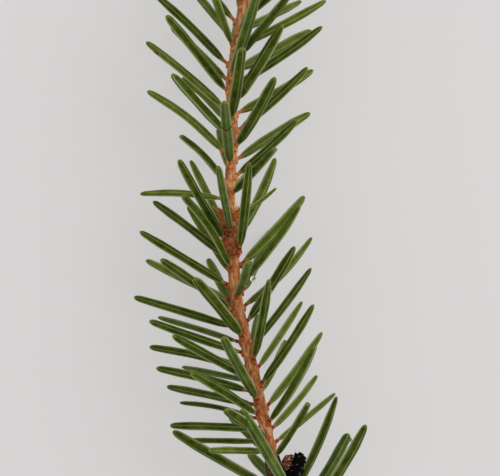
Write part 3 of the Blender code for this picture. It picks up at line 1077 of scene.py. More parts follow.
class Value:
    """Output of a shader node, on which the usual operators add maths nodes.

    A step or fall is given by the values at which it starts and ends.
    """

    def __init__(self, sheet: "Sheet", socket: bpy.types.NodeSocket) -> None:
        """Holds an output socket and the sheet that its node is on."""
        self.sheet = sheet
        self.socket = socket

    def _with(self, operation: str, *others: "Value | float") -> "Value":
        """Adds one maths node that starts from this value."""
        return self.sheet.maths(operation, self, *others)

    def __add__(self, other: "Value | float") -> "Value":
        """Sum."""
        return self._with("ADD", other)

    __radd__ = __add__

    def __sub__(self, other: "Value | float") -> "Value":
        """Difference."""
        return self._with("SUBTRACT", other)

    def __rsub__(self, other: "Value | float") -> "Value":
        """Difference from a number."""
        return self.sheet.maths("SUBTRACT", other, self)

    def __mul__(self, other: "Value | float") -> "Value":
        """Product."""
        return self._with("MULTIPLY", other)

    __rmul__ = __mul__

    def wave(self, length: float) -> "Value":
        """A wave from 0 to 1 of this value, one for each length."""
        return self._with("MULTIPLY", TAU / length)._with("SINE") * 0.5 + 0.5

    def swing(self, strength: float) -> "Value":
        """How far the value is from one half, times a strength."""
        return (self - 0.5) * strength

    def step(self, low: float, high: float) -> "Value":
        """Smooth step from 0 at low to 1 at high."""
        inputs = {"Value": self, "From Min": low, "From Max": high}
        return self.sheet.node("ShaderNodeMapRange", {"interpolation_type": "SMOOTHSTEP"}, inputs, "Result")

    def fall(self, low: float, high: float) -> "Value":
        """Smooth step from 1 at low to 0 at high."""
        return 1.0 - self.step(low, high)


class Sheet:
    """Node tree of one material, with its Principled shader."""

    # Sockets of a Mix node that hold its colours and give the mixed one.
    MIX_A, MIX_B, MIX_RESULT = 6, 7, 2

    def __init__(self, name: str) -> None:
        """Starts a material.

        Args:
            name: Name of the material.
        """
        self.material = bpy.data.materials.new(name)
        self.material.use_nodes = True
        self.tree = self.material.node_tree
        self.shader = self.tree.nodes["Principled BSDF"]

    def node(self, kind: str, settings: dict[str, Any], inputs: dict[Any, Any], output: str | int) -> Value:
        """Adds a node.

        Args:
            kind: Its type.
            settings: Its own settings, set first.
            inputs: Value or link for each of its sockets, by name or number.
            output: Name or number of the socket that gives its result.

        Returns:
            Its result.
        """
        node = self.tree.nodes.new(kind)
        for key, setting in settings.items():
            setattr(node, key, setting)
        for key, given in inputs.items():
            self.feed(node.inputs[key], given)
        return Value(self, node.outputs[output])

    def feed(self, socket: bpy.types.NodeSocket, given: Any) -> None:
        """Links a value to a socket, or sets the socket to a number or a colour.

        Args:
            socket: The socket.
            given: What it gets.
        """
        if isinstance(given, Value):
            self.tree.links.new(given.socket, socket)
        elif isinstance(given, tuple) and len(given) == 3 and socket.type == "RGBA":
            socket.default_value = (*given, 1.0)
        else:
            socket.default_value = given

    def maths(self, operation: str, *given: "Value | float") -> Value:
        """Adds a maths node for numbers."""
        return self.node("ShaderNodeMath", {"operation": operation}, dict(enumerate(given)), "Value")

    def mix(self, share: "Value | float", low: "Value | Colour", high: "Value | Colour") -> Value:
        """Mixes two colours.

        Args:
            share: Share of the second.
            low: The first colour.
            high: The second colour.

        Returns:
            The mixed colour.
        """
        colours = {"Factor": share, self.MIX_A: low, self.MIX_B: high}
        return self.node("ShaderNodeMix", {"data_type": "RGBA"}, colours, self.MIX_RESULT)

    def coats(self, colour: "Value | Colour", *coats: "tuple[Value, Colour]") -> Value:
        """Lays one colour over another.

        Args:
            colour: What lies lowest.
            coats: How far each further colour covers what is under it, and that colour.

        Returns:
            The colour of them all.
        """
        for share, coat in coats:
            colour = self.mix(share, colour, coat)
        return colour

    def held(self, name: str) -> Value:
        """A value that the mesh holds at its points."""
        return self.node("ShaderNodeAttribute", {"attribute_name": name}, {}, "Fac")

    def spot(self, stretch: Point = (1.0, 1.0, 1.0)) -> Value:
        """Finds the place on the piece.

        Args:
            stretch: How far a pattern there is drawn out along each axis.

        Returns:
            The place in millimetres.
        """
        place = self.node("ShaderNodeTexCoord", {}, {}, "Object")
        scale = tuple(1.0 / (MM * part) for part in stretch)
        return self.node("ShaderNodeMapping", {}, {"Vector": place, "Scale": scale}, "Vector")

    def cloud(self, size: float, detail: float = 3.0, place: Value | None = None) -> Value:
        """Noise from 0 to 1.

        Args:
            size: Length of its waves in millimetres.
            detail: How many finer waves follow.
            place: Where it is read, the place on the piece if left out.

        Returns:
            The noise.
        """
        inputs = {"Vector": place or self.spot(), "Scale": 1.0 / size, "Detail": detail}
        return self.node("ShaderNodeTexNoise", {}, inputs, "Fac")

    def cells(self, size: float) -> Value:
        """Distance from the edges of a net of cells, whose size is given in millimetres."""
        inputs = {"Vector": self.spot(), "Scale": 1.0 / size}
        return self.node("ShaderNodeTexVoronoi", {"feature": "DISTANCE_TO_EDGE"}, inputs, "Distance")

    def finish(
        self,
        colour: "Value | Colour",
        roughness: "Value | float",
        gloss: float = 0.5,
        relief: Value | None = None,
        depth: float = 0.0,
        **more: Any,
    ) -> Material:
        """Sets the shader.

        Args:
            colour: Its base colour.
            roughness: Its roughness.
            gloss: Strength of its reflections, 0 to 1.
            relief: Height of its fine relief, 0 to 1, or None.
            depth: Depth of the relief in millimetres.
            more: Number or colour for each further socket, with _ for a space.

        Returns:
            The finished material.
        """
        sockets = {"Base Color": colour, "Roughness": roughness, "Specular IOR Level": gloss}
        sockets |= {name.replace("_", " "): given for name, given in more.items()}
        for name, given in sockets.items():
            self.feed(self.shader.inputs[name], given)
        if relief is not None:
            inputs = {"Height": relief, "Distance": depth * MM, "Strength": 1.0}
            self.feed(self.shader.inputs["Normal"], self.node("ShaderNodeBump", {}, inputs, "Normal"))
        return self.material


@dataclass(frozen=True)
class NeedleFinish:
    """Waxy olive green with painted shade on its flanks, fine pale dots in rows, a painted
    highlight along its ridges, painted light on its side edges and a tan foot.

    The mesh holds facet, 0 at a needle's side edges and 1 at its ridges, share, 0 at its foot
    and 1 at its tip, and along, the same in millimetres.  A scar's two values are 0 in its
    middle and 1 at its rim.
    """

    name: str
    dark: Colour
    light: Colour
    # Painted light: edge is the light painted on the side edges, ridge the highlight painted along the
    # ridges.
    edge: Colour
    ridge: Colour
    foot: Colour = srgb(176, 138, 78)
    tip: Colour = srgb(116, 124, 56)
    scar: Colour = srgb(82, 40, 18)
    bloom: Colour = srgb(134, 150, 92)
    dots: float = 0.6
    row_width: float = 0.18
    dot_step: float = 0.21
    mottle_size: float = 1.7
    grain_size: float = 0.13
    gloss: float = 0.03
    depth: float = 0.03

    def build(self) -> Material:
        """Makes the material.

        Returns:
            The material.
        """
        sheet = Sheet(self.name)
        along, facet, share = sheet.held("along"), sheet.held("facet"), sheet.held("share")
        off_scar, off_edge = sheet.held("off_scar"), sheet.held("off_edge")
        mottle, grain = sheet.cloud(self.mottle_size, 2.0), sheet.cloud(self.grain_size, 2.0)
        ridge = facet.step(0.91, 0.985)
        patches = (mottle + grain.swing(0.7)).step(0.25, 0.8)
        # Painted shade: the flanks between the ridges and the side edges are darkened.
        painted_flank_shade = facet.step(0.2, 0.5) * facet.fall(0.6, 0.9)
        tone = 0.28 + 0.42 * patches - 0.28 * painted_flank_shade + grain.swing(0.5)
        rows = facet.wave(self.row_width).step(0.35, 0.9) * facet.step(0.13, 0.22)
        rows = rows * facet.fall(0.60, 0.70)
        uneven = along + sheet.cloud(0.6, 1.0).swing(0.5)
        dots = uneven.wave(self.dot_step).step(0.35, 0.85) * rows * sheet.cloud(1.1, 1.0).step(0.36, 0.6)
        off = off_scar * off_scar + off_edge * off_edge + grain.swing(1.5)
        colour = sheet.coats(
            sheet.mix(tone, self.dark, self.light),
            (dots * self.dots, self.bloom),
            # Painted light on the side edges, then a painted highlight along the ridges.
            ((facet + grain.swing(0.14)).fall(0.06, 0.30) * 0.95, self.edge),
            (ridge * (0.20 + 0.8 * mottle), self.ridge),
            (share.fall(0.008, 0.05) * 0.95, self.foot),
            (share.step(0.955, 0.998) * 0.75, self.tip),
            (off.fall(0.4, 1.6) * 0.9, self.scar),
        )
        roughness = 0.42 + 0.12 * grain + 0.2 * dots
        relief = ridge * 0.5 - dots * 0.5 + grain * 0.5
        return sheet.finish(colour, roughness, self.gloss, relief, self.depth)


@dataclass(frozen=True)
class BarkFinish:
    """Bark of a shoot: downy ridges with pale streaks, darker grooves and a flush round the pegs."""

    name: str
    ridge: Colour
    groove: Colour
    flush: Colour
    down: Colour
    fine_size: float = 0.09
    broad_size: float = 1.2
    tuft_size: float = 0.26
    gloss: float = 0.05
    depth: float = 0.06

    def build(self) -> Material:
        """Makes the material.

        Returns:
            The material.
        """
        sheet = Sheet(self.name)
        fine, broad = sheet.cloud(self.fine_size, 3.0), sheet.cloud(self.broad_size, 2.0)
        grain, groove, flush = sheet.held("grain"), sheet.held("groove"), sheet.held("flush")
        colour = sheet.coats(
            sheet.mix(broad.swing(1.3) + fine.swing(1.2) + 0.30, self.ridge, self.groove),
            ((grain + fine.swing(0.5)).fall(0.10, 0.45) * 0.5, self.groove),
            ((grain + fine.swing(0.9)).step(0.55, 0.95) * 0.65, self.down),
            (sheet.cloud(self.tuft_size, 2.0).step(0.50, 0.68) * 0.35, self.down),
            ((groove + fine.swing(0.6)).step(0.25, 0.95) * 0.65, self.groove),
            ((flush + fine.swing(0.4)).step(0.2, 0.85) * 0.9, self.flush),
        )
        return sheet.finish(colour, 0.62 + 0.2 * fine, self.gloss, fine + grain * 0.5, self.depth)


@dataclass(frozen=True)
class OldBarkFinish:
    """Dark bark in flakes, with grey skins, red-brown patches and dark cracks."""

    name: str
    flake: Colour = srgb(70, 56, 44)
    grey: Colour = srgb(118, 106, 92)
    crack: Colour = srgb(24, 16, 11)
    red: Colour = srgb(108, 48, 26)
    flake_size: float = 0.45
    fine_size: float = 0.16
    broad_size: float = 1.0
    gloss: float = 0.15
    depth: float = 0.12

    def build(self) -> Material:
        """Makes the material.

        Returns:
            The material.
        """
        sheet = Sheet(self.name)
        edges = sheet.cells(self.flake_size)
        fine, broad = sheet.cloud(self.fine_size, 4.0), sheet.cloud(self.broad_size, 3.0)
        cracks = (edges + fine.swing(0.16)).fall(0.02, 0.12)
        colour = sheet.coats(
            sheet.mix(fine.step(0.42, 0.62), self.flake, self.grey),
            (broad.step(0.50, 0.62) * 0.85, self.red),
            (cracks * 0.9, self.crack),
            (sheet.held("groove") * 0.8, self.crack),
        )
        return sheet.finish(colour, 0.75 + 0.2 * fine, self.gloss, fine - cracks * 0.8, self.depth)


@dataclass(frozen=True)
class PegFinish:
    """Peg under a needle: the stem's colour at its foot, dark red in the middle, tan at its end."""

    name: str
    foot: Colour
    middle: Colour
    end: Colour
    fine_size: float = 0.12
    gloss: float = 0.2
    depth: float = 0.03

    def build(self) -> Material:
        """Makes the material.

        Returns:
            The material.
        """
        sheet = Sheet(self.name)
        share, fine = sheet.held("share"), sheet.cloud(self.fine_size, 3.0)
        uneven = share + fine.swing(0.3)
        colour = sheet.mix(uneven.step(0.15, 0.5), self.foot, self.middle)
        colour = sheet.mix(uneven.step(0.78, 1.0), colour, self.end)
        return sheet.finish(colour, 0.55 + 0.2 * fine, self.gloss, fine, self.depth)


@dataclass(frozen=True)
class ScaleFinish:
    """Dry papery scale with fine veins, darker towards its foot, partly its own colour and partly
    painted shade where the scales overlap, with a pale torn margin.
    """

    name: str
    # foot is partly the scale's own colour and partly painted shade where the scales overlap.
    foot: Colour
    body: Colour
    margin: Colour
    pale: float = 0.8
    roughness: float = 0.5
    veins: float = 0.5
    fine_size: float = 0.11
    vein_size: Point = (0.16, 1.8, 0.16)
    gloss: float = 0.08
    depth: float = 0.04

    def build(self) -> Material:
        """Makes the material.

        Returns:
            The material.
        """
        sheet = Sheet(self.name)
        fine, vein = sheet.cloud(self.fine_size, 3.0), sheet.cloud(1.0, 3.0, sheet.spot(self.vein_size))
        # Partly painted shade: the foot colour spreads towards the foot, where the scales overlap.
        body = sheet.held("share").step(0.0, 0.75) * sheet.held("tone")
        colour = sheet.coats(
            sheet.mix(body, self.foot, self.body),
            ((vein + fine.swing(0.5)).step(0.42, 0.66) * self.veins, self.foot),
            ((sheet.held("edge") + fine.swing(0.5)).step(0.72, 1.0) * self.pale, self.margin),
        )
        roughness = self.roughness + 0.25 * fine
        return sheet.finish(colour, roughness, self.gloss, fine + vein * 0.6, self.depth)


@dataclass(frozen=True)
class MixedFinish:
    """Two colours in fine crumbs."""

    name: str
    low: Colour
    high: Colour
    size: float
    roughness: float
    depth: float
    stops: tuple[float, float] = (0.45, 0.65)
    gloss: float = 0.3

    def build(self) -> Material:
        """Makes the material.

        Returns:
            The material.
        """
        sheet = Sheet(self.name)
        fine = sheet.cloud(self.size, 4.0)
        colour = sheet.mix(fine.step(*self.stops), self.low, self.high)
        return sheet.finish(colour, self.roughness + 0.1 * fine, self.gloss, fine, self.depth)


@dataclass(frozen=True)
class CutFinish:
    """Cut end: pale wood with a dark pith and a red-brown rim of bark."""

    name: str
    wood: Colour = srgb(208, 182, 140)
    ring: Colour = srgb(176, 140, 94)
    pith: Colour = srgb(112, 78, 48)
    rim: Colour = srgb(84, 52, 34)
    ring_width: float = 0.24
    fine_size: float = 0.1
    gloss: float = 0.5
    depth: float = 0.05

    def build(self) -> Material:
        """Makes the material.

        Returns:
            The material.
        """
        sheet = Sheet(self.name)
        out, fine = sheet.held("out"), sheet.cloud(self.fine_size, 3.0)
        rings = (out + fine.swing(0.06)).wave(self.ring_width).step(0.5, 0.95)
        colour = sheet.coats(
            sheet.mix(rings * 0.7, self.wood, self.ring),
            (out.fall(0.06, 0.13), self.pith),
            ((out + fine.swing(0.05)).step(0.80, 0.86), self.rim),
        )
        return sheet.finish(colour, 0.7 + 0.15 * fine, self.gloss, fine, self.depth)


@dataclass(frozen=True)
class WaterFinish:
    """Clear water."""

    name: str
    refraction: float = 1.33
    roughness: float = 0.02

    def build(self) -> Material:
        """Makes the material."""
        clear = {"Transmission_Weight": 1.0, "IOR": self.refraction}
        return Sheet(self.name).finish((1.0, 1.0, 1.0), self.roughness, **clear)


@dataclass(frozen=True)
class FloorFinish:
    """Plain pale ground that glows faintly, so that shadows on it stay light."""

    name: str
    colour: Colour = (0.25, 0.247, 0.246)
    glow: Colour = (0.433, 0.426, 0.424)
    roughness: float = 0.9
    gloss: float = 0.05

    def build(self) -> Material:
        """Makes the material."""
        glowing = {"Emission_Color": self.glow, "Emission_Strength": 1.0}
        return Sheet(self.name).finish(self.colour, self.roughness, self.gloss, **glowing)


class Shade(Enum):
    """Greens that are dealt out among the needles."""

    # Each green: dark, light, the painted light of its side edges and the painted highlight of its ridges.
    DEEP = NeedleFinish(
        "needle_deep", srgb(38, 52, 0), srgb(92, 106, 30), srgb(144, 152, 104), srgb(150, 162, 102)
    )
    FRESH = NeedleFinish(
        "needle_fresh", srgb(62, 78, 2), srgb(128, 142, 60), srgb(156, 164, 114), srgb(158, 170, 108)
    )
    BLOOM = NeedleFinish(
        "needle_bloom", srgb(52, 68, 10), srgb(110, 126, 62), srgb(138, 150, 110), srgb(138, 154, 104)
    )
    UNDER = NeedleFinish(
        "needle_under", srgb(74, 88, 14), srgb(128, 140, 70), srgb(158, 166, 122), srgb(146, 158, 100)
    )


def show(thing: Piece, slot: str, *nodes: str) -> None:
    """Hands a finished piece to the frame.

    Args:
        thing: The piece.
        slot: Material slot of the record; not used.
        nodes: Nodes of the solids that it stands for.
    """
    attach(thing, BODY)
    if nodes:
        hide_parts(*nodes)
    LOG.info("%s: %d faces", thing.name, len(thing.data.polygons))


@dataclass
class Bark:
    """Stem of one stretch, with the ridges that run down from its pegs."""

    growth: Growth
    stretch: Stretch
    name: str
    finish: BarkFinish | OldBarkFinish
    overlap: tuple[float, float]
    more_pegs: Pairs = ()
    sides: int = 96
    ring_step: float = 0.10
    ridge_height: float = 0.06
    ridge_half: tuple[float, float] = (0.36, 1.9)
    ridge_drop: float = 1.7
    groove_width: float = 0.42
    cushion_half: float = 0.26
    cushion_drop: float = 0.60
    flush: float = 0.95
    flush_reach: float = 1.1
    swelling: float = 0.08
    roughness: float = 0.015
    rough_size: float = 0.35
    grain_size: tuple[float, float] = (0.22, 0.62)
    grain_waves: float = 1.6
    grain_depth: float = 0.026
    sway: float = 0.5
    sway_size: float = 1.3

    def relief(self, distance: Array, turn: Array) -> tuple[Array, Array, Array]:
        """Works out the ridges under the pegs.

        Args:
            distance: Distances along the stem.
            turn: Turns round it.

        Returns:
            Height in millimetres, depth of groove 0 to 1 and flush 0 to 1.
        """
        needles = self.growth.needles[self.stretch.mass]
        azimuths = [(needle.plan.distance, needle.plan.azimuth) for needle in needles]
        pegs = np.array([*azimuths, *self.more_pegs])
        radius = between(self.stretch.radii, distance)
        aside = (turn[:, None] - np.radians(pegs[None, :, 1]) + math.pi) % TAU - math.pi
        aside = np.abs(aside) * radius[:, None]
        below = pegs[None, :, 0] - distance[:, None]
        wide, long = self.ridge_half
        measure = np.sort(np.hypot(aside / wide, (below - self.ridge_drop) / long), axis=1)
        groove = 1.0 - smooth_step(0.0, self.groove_width, measure[:, 1] - measure[:, 0])
        half = self.cushion_half
        near = np.where(below > 0.0, below / self.cushion_drop, below / half)
        near = np.hypot(aside / half, near).min(axis=1)
        crown = 1.0 - 0.35 * np.minimum(measure[:, 0], 2.0)
        height = self.ridge_height * (crown - groove) + self.swelling * np.exp(-(near**2))
        return height, groove, self.flush * np.exp(-((near / self.flush_reach) ** 2))

    def build(self) -> Piece:
        """Builds the stem.

        Returns:
            Its object.
        """
        foot, top = self.stretch.foot - self.overlap[0], self.stretch.top + self.overlap[1]
        blank = Workbench.tube(self.sides, round((top - foot) / self.ring_step))
        out, turn, share = round_places(blank.points)
        distance = foot + (top - foot) * share
        height, groove, flush = self.relief(distance, turn)
        radius = between(self.stretch.radii, distance)
        rest = self.growth.stem.place(distance, turn, radius)
        swayed = turn + self.sway * rough(rest, self.sway_size, 2)
        wide, long = self.grain_size
        rod = np.stack((np.cos(swayed) * radius, np.sin(swayed) * radius, distance * wide / long), axis=-1)
        grain = rough(rod, self.grain_waves * wide, 2)
        height += self.roughness * rough(rest, self.rough_size) + self.grain_depth * grain
        points = self.growth.stem.place(distance, turn, out * (radius + height))
        shape = blank.moved(points, groove=groove, flush=flush, grain=0.5 + 0.9 * grain)
        return shape.build(self.name, [self.finish.build()], self.growth.origin)


@dataclass(frozen=True)
class Scar:
    """Dead spot on a needle: its share of the needle's length, and half its own in millimetres.

    Its edge is 1 or -1 for the ridge that it lies on, and 0 for a spot right across.
    """

    at: float
    reach: float
    edge: float = 0.0


@dataclass(frozen=True)
class Habit:
    """How one needle really grew: girth, bow, green, and how far its ends stand from the rule.

    An end's place is given in millimetres to the right, up in the view and off the ground.
    """

    girth: float = 1.0
    bend: float | None = None
    foot: tuple[float, ...] = (0.0, 0.0)
    tip: tuple[float, ...] = (0.0, 0.0)
    shade: Shade | None = None
    scar: Scar | None = None

    def shift(self, share: Array) -> Array:
        """Vectors from the rule for shares of the needle's length."""
        foot, tip = ((*end, 0.0)[:3] for end in (self.foot, self.tip))
        return np.outer(1.0 - share, foot) + np.outer(share, tip)


@dataclass
class NeedleSpray:
    """All needles of one stretch: one modelled needle, bent along every grown line."""

    growth: Growth
    mass: Mass
    name: str
    finishes: Sequence[Material]
    habits: dict[int, Habit] = field(default_factory=dict)
    sides: int = 16
    rings: int = 17
    girth: float = 1.06
    breadth: float = 1.10
    length: float = 0.997
    roll: float = 18.0
    unevenness: float = 0.035
    usual_bend: float = 0.22
    tapers: tuple[float, float] = (0.0, 0.28)
    map_columns: int = 4

    # The section's corners, and the ends of the outline, which NEEDLE_OUTLINE leaves open.
    SHOULDER = 0.13
    BULGE = 1.05
    BLADE_FOOT = (0.0, 0.42)
    CAP_FOOT = 0.93
    CAP = ((0.955, 0.76), (0.973, 0.63), (0.988, 0.45), (0.996, 0.26), (0.999, 0.08))

    # Where a needle starts to taper, and how far left one stands that has the usual bend.
    TAPER_FROM = 0.74
    LEFT_SIDE = -0.3

    # A spot far beyond the tip, for a needle without one, and a spot's depth on an edge.
    NO_SCAR = Scar(9.0, 0.2)
    SCAR_DEPTH = 0.5

    # Sine of the azimuth from which a needle is bloomed, and below which it shows its under side.
    ON_TOP, BELOW, SIDE_JITTER = 0.9, -0.30, 0.25
    FRESH_SHARE = 0.35

    # Size and place of one needle's strip in its field of the map.
    STRIP, STRIP_FOOT = (0.94, 0.80), (0.03, 0.05)

    @classmethod
    def section(cls, point: Array) -> Array:
        """Turns a point of the circle into one of the four-sided section.

        Args:
            point: A corner of the sixteen-sided circle.

        Returns:
            Its place on the section: a ridge, its shoulder or the middle of a side.
        """
        quarter, part = divmod(round(math.atan2(point[1], point[0]) / (TAU / cls.sides)), cls.sides // 4)
        along = (0.0, cls.SHOULDER, 0.5, 1.0 - cls.SHOULDER)[part]
        turns = (corner * TAU / 4 for corner in (quarter, quarter + 1))
        start, end = (np.array((math.cos(turn), math.sin(turn))) for turn in turns)
        spot = start + (end - start) * along
        if part == 2:
            spot = spot * cls.BULGE
        return np.array((*spot, 0.0))

    def blank(self) -> Shape:
        """Models one straight blade of length 1, with its facets marked.

        Returns:
            The blade.
        """
        outline = (self.BLADE_FOOT, *NEEDLE_OUTLINE[:-1], *self.CAP)
        spaced = np.linspace(0.0, self.CAP_FOOT, self.rings).tolist()
        shares = sorted({*spaced, *(share for share, _ in self.CAP)})
        rings = [(share, float(between(outline, share))) for share in shares]
        shape = Workbench.lathe(self.sides, rings, self.section)
        out, turn, share = round_places(shape.points)
        sums = np.abs(shape.points[:, 0]) + np.abs(shape.points[:, 1])
        facet = np.where(out < ON_AXIS, 0.5, np.abs(shape.points[:, 1]) / np.maximum(sums, 1e-6))
        shape.values = {"facet": facet, "share": share}
        shape.maps = {"OFBake": self._map(shape, out, turn)}
        return shape

    @staticmethod
    def _map(shape: Shape, out: Array, turn: Array) -> Array:
        """Lays the blade out as one strip, for the printing of its pattern.

        Args:
            shape: The straight blade.
            out: Distance of its points from its middle line.
            turn: Their turn round it.

        Returns:
            Length across and turn up for each corner of each face.
        """
        around = (turn / TAU) % 1.0
        starts = np.concatenate(((0,), np.cumsum(shape.counts)[:-1]))
        length, up = shape.points[shape.corners, 2], around[shape.corners]
        pole = out[shape.corners] < ON_AXIS
        for start, count in zip(starts, shape.counts):
            face = slice(start, start + count)
            rim = up[face][~pole[face]]
            if rim.max() - rim.min() > 0.5:
                rim = np.where(rim < 0.5, rim + 1.0, rim)
            up[face] = rim.mean()
            up[face][~pole[face]] = rim
        length = np.where(pole & (length < 0.5), -0.02, length)
        return np.stack((length, up), axis=-1)

    @classmethod
    def shade(cls, needle: Needle, chance: random.Random) -> Shade:
        """Deals a green to a needle by the side of the stem that it grows on.

        Args:
            needle: The needle.
            chance: Source of the small differences.

        Returns:
            The green.
        """
        up = math.sin(math.radians(needle.plan.azimuth)) + chance.uniform(-cls.SIDE_JITTER, cls.SIDE_JITTER)
        if up > cls.ON_TOP:
            return Shade.BLOOM
        if up < cls.BELOW:
            return Shade.UNDER
        return Shade.FRESH if chance.random() < cls.FRESH_SHARE else Shade.DEEP

    def bent(self, blank: Shape, needle: Needle, chance: random.Random) -> Shape:
        """Bends the blank along one needle.

        Args:
            blank: The straight blade.
            needle: The needle.
            chance: Source of the small differences.

        Returns:
            The needle's shape.
        """
        share, peg = blank.values["share"] * self.length, needle.peg_share()
        habit = self.habits.get(needle.plan.number, Habit())
        middle, across, over = needle.frames(peg + (1.0 - peg) * share)
        roll = math.radians(chance.uniform(-self.roll, self.roll))
        first = across * math.cos(roll) + over * math.sin(roll)
        second = over * math.cos(roll) - across * math.sin(roll)
        waves, lag = chance.uniform(7.0, 13.0), chance.uniform(0.0, TAU)
        swell = 1.0 + self.unevenness * np.sin(share * waves + lag)
        low, high = self.tapers
        taper = low + (high - low) * (needle.plan.number * GOLDEN % 1.0)
        narrow = 1.0 - taper * smooth_step(self.TAPER_FROM, 1.0, share)
        half = 0.5 * self.girth * habit.girth * swell * narrow
        x = blank.points[:, 0] * half * NEEDLE_WIDTH * self.breadth
        y = blank.points[:, 1] * half * NEEDLE_HEIGHT
        is_left = math.cos(math.radians(needle.plan.azimuth)) < self.LEFT_SIDE
        bend = (self.usual_bend if is_left else 0.0) if habit.bend is None else habit.bend
        middle = middle - over * bend * np.sin(math.pi * share)[:, None] + habit.shift(share)
        points = middle + first * x[:, None] + second * y[:, None]
        scar = habit.scar or self.NO_SCAR
        off_scar = (share - scar.at) * needle.length / scar.reach
        off_edge = (1.0 - scar.edge * blank.points[:, 1]) * abs(scar.edge) / self.SCAR_DEPTH
        along = share * needle.length * (1.0 - peg)
        shape = blank.moved(points, along=along, off_scar=off_scar, off_edge=off_edge)
        # Painted light: the corners that face most nearly up and down take the painted ridge highlight, the
        # sideways ones the painted edge light.
        if abs(first[0, 2]) > abs(second[0, 2]):
            shape.values["facet"] = 1.0 - blank.values["facet"]
        dealt = self.shade(needle, chance)
        shape.looks = np.full(len(blank.counts), list(Shade).index(habit.shade or dealt))
        return shape

    def build(self) -> Piece:
        """Builds the needles as one piece, each with its own field in the map.

        Returns:
            Their object.
        """
        chance = random.Random(f"{self.name}{SEED}")
        blank = self.blank()
        shapes = [self.bent(blank, needle, chance) for needle in self.growth.needles[self.mass]]
        rows = math.ceil(len(shapes) / self.map_columns)
        spots = blank.maps["OFBake"] * self.STRIP + self.STRIP_FOOT
        for index, shape in enumerate(shapes):
            column, row = divmod(index, rows)
            shape.maps["OFBake"] = (spots + (column, row)) / (self.map_columns, rows)
        return Shape.join(shapes).build(self.name, self.finishes, self.growth.origin)


@dataclass
class Pegs:
    """Pegs on which the needles of one stretch stand."""

    growth: Growth
    mass: Mass
    name: str
    finish: PegFinish
    habits: dict[int, Habit] = field(default_factory=dict)
    sides: int = 14
    tail: float = 0.9

    # Share of the peg's length and of its radius, from inside the bark to the needle's foot.
    PROFILE = (
        (-0.60, 1.10), (-0.20, 1.34), (0.0, 1.30), (0.12, 1.18), (0.25, 1.04), (0.45, 0.94),
        (0.68, 0.88), (0.86, 0.94), (0.95, 1.00), (0.99, 0.93), (1.0, 0.78),
    )
    WIDTHS = (0.88, 1.04)
    TAIL_END = 0.35

    def bent(self, blank: Shape, needle: Needle, chance: random.Random) -> Shape:
        """Sets the blank under one needle.

        Args:
            blank: The straight peg.
            needle: The needle that it carries.
            chance: Source of the small differences.

        Returns:
            The peg's shape.
        """
        risen = blank.points[:, 2]
        middle, across, over = needle.frames(needle.peg_share() * np.maximum(risen, 0.0))
        inward = unit(needle.foot - needle.root) * np.minimum(risen, 0.0)[:, None] * PEG_LENGTH
        width = PEG_RADIUS * chance.uniform(*self.WIDTHS)
        down = (blank.points[:, 1] > 0.0) * (1.0 - smooth_step(0.0, self.TAIL_END, risen))
        x, y = blank.points[:, 0] * width, blank.points[:, 1] * width * (1.0 + self.tail * down)
        middle = middle + self.habits.get(needle.plan.number, Habit()).shift(np.zeros(len(x)))
        return blank.moved(middle + inward + across * x[:, None] + over * y[:, None])

    def build(self) -> Piece:
        """Builds the pegs as one piece.

        Returns:
            Their object.
        """
        chance = random.Random(f"{self.name}{SEED}")
        blank = Workbench.lathe(self.sides, self.PROFILE)
        blank.values = {"share": np.maximum(blank.points[:, 2], 0.0)}
        shapes = [self.bent(blank, needle, chance) for needle in self.growth.needles[self.mass]]
        return Shape.join(shapes).build(self.name, [self.finish.build()], self.growth.origin)


@dataclass
class Down:
    """Fine short hairs on a shoot: one modelled hair, copied."""

    growth: Growth
    stretch: Stretch
    name: str
    finish: MixedFinish
    count: int
    top: float
    length: tuple[float, float] = (0.08, 0.20)
    leaning_ahead: tuple[float, float] = (-0.4, 0.9)
    leaning_aside: tuple[float, float] = (-0.6, 0.6)
    thickness: float = 0.014
    sunk: float = 0.06

    def build(self) -> Piece:
        """Builds the hairs as one piece.

        Returns:
            Their object.
        """
        chance = np.random.default_rng(SEED + self.count)
        distance = chance.uniform(self.stretch.foot, self.top, self.count)
        turn = chance.uniform(0.0, TAU, self.count)
        stem = self.growth.stem
        foot = stem.place(distance, turn, between(self.stretch.radii, distance) - self.sunk)
        radial, forward = stem.radial(distance, turn), stem.direction(distance)
        aside = np.cross(forward, radial)
        ahead = chance.uniform(*self.leaning_ahead, self.count)
        sideways = chance.uniform(*self.leaning_aside, self.count)
        way = unit(radial + forward * ahead[:, None] + aside * sideways[:, None])
        length = chance.uniform(*self.length, self.count) + self.sunk
        hair = Workbench.hair()
        across = unit(np.cross(way, forward + aside))
        along = way * length[:, None]
        frames = (across * self.thickness, np.cross(way, across) * self.thickness, along)
        spread = sum(hair.points[None, :, axis, None] * side[:, None] for axis, side in enumerate(frames))
        points = (foot[:, None] + spread).reshape(-1, 3)
        starts = len(hair.points) * np.arange(self.count)
        corners = (hair.corners[None] + starts[:, None]).ravel()
        shape = Shape(points, corners, np.tile(hair.counts, self.count))
        return shape.build(self.name, [self.finish.build()], self.growth.origin)


@dataclass(frozen=True)
class ScaleRow:
    """One row of scales round an axis: how many, where, and how they stand off."""

    count: int
    foot: float
    length: float
    width: float
    lift: float
    curl: float
    turn: float = 0.0
    ragged: float = 0.12
    wander: float = 0.18


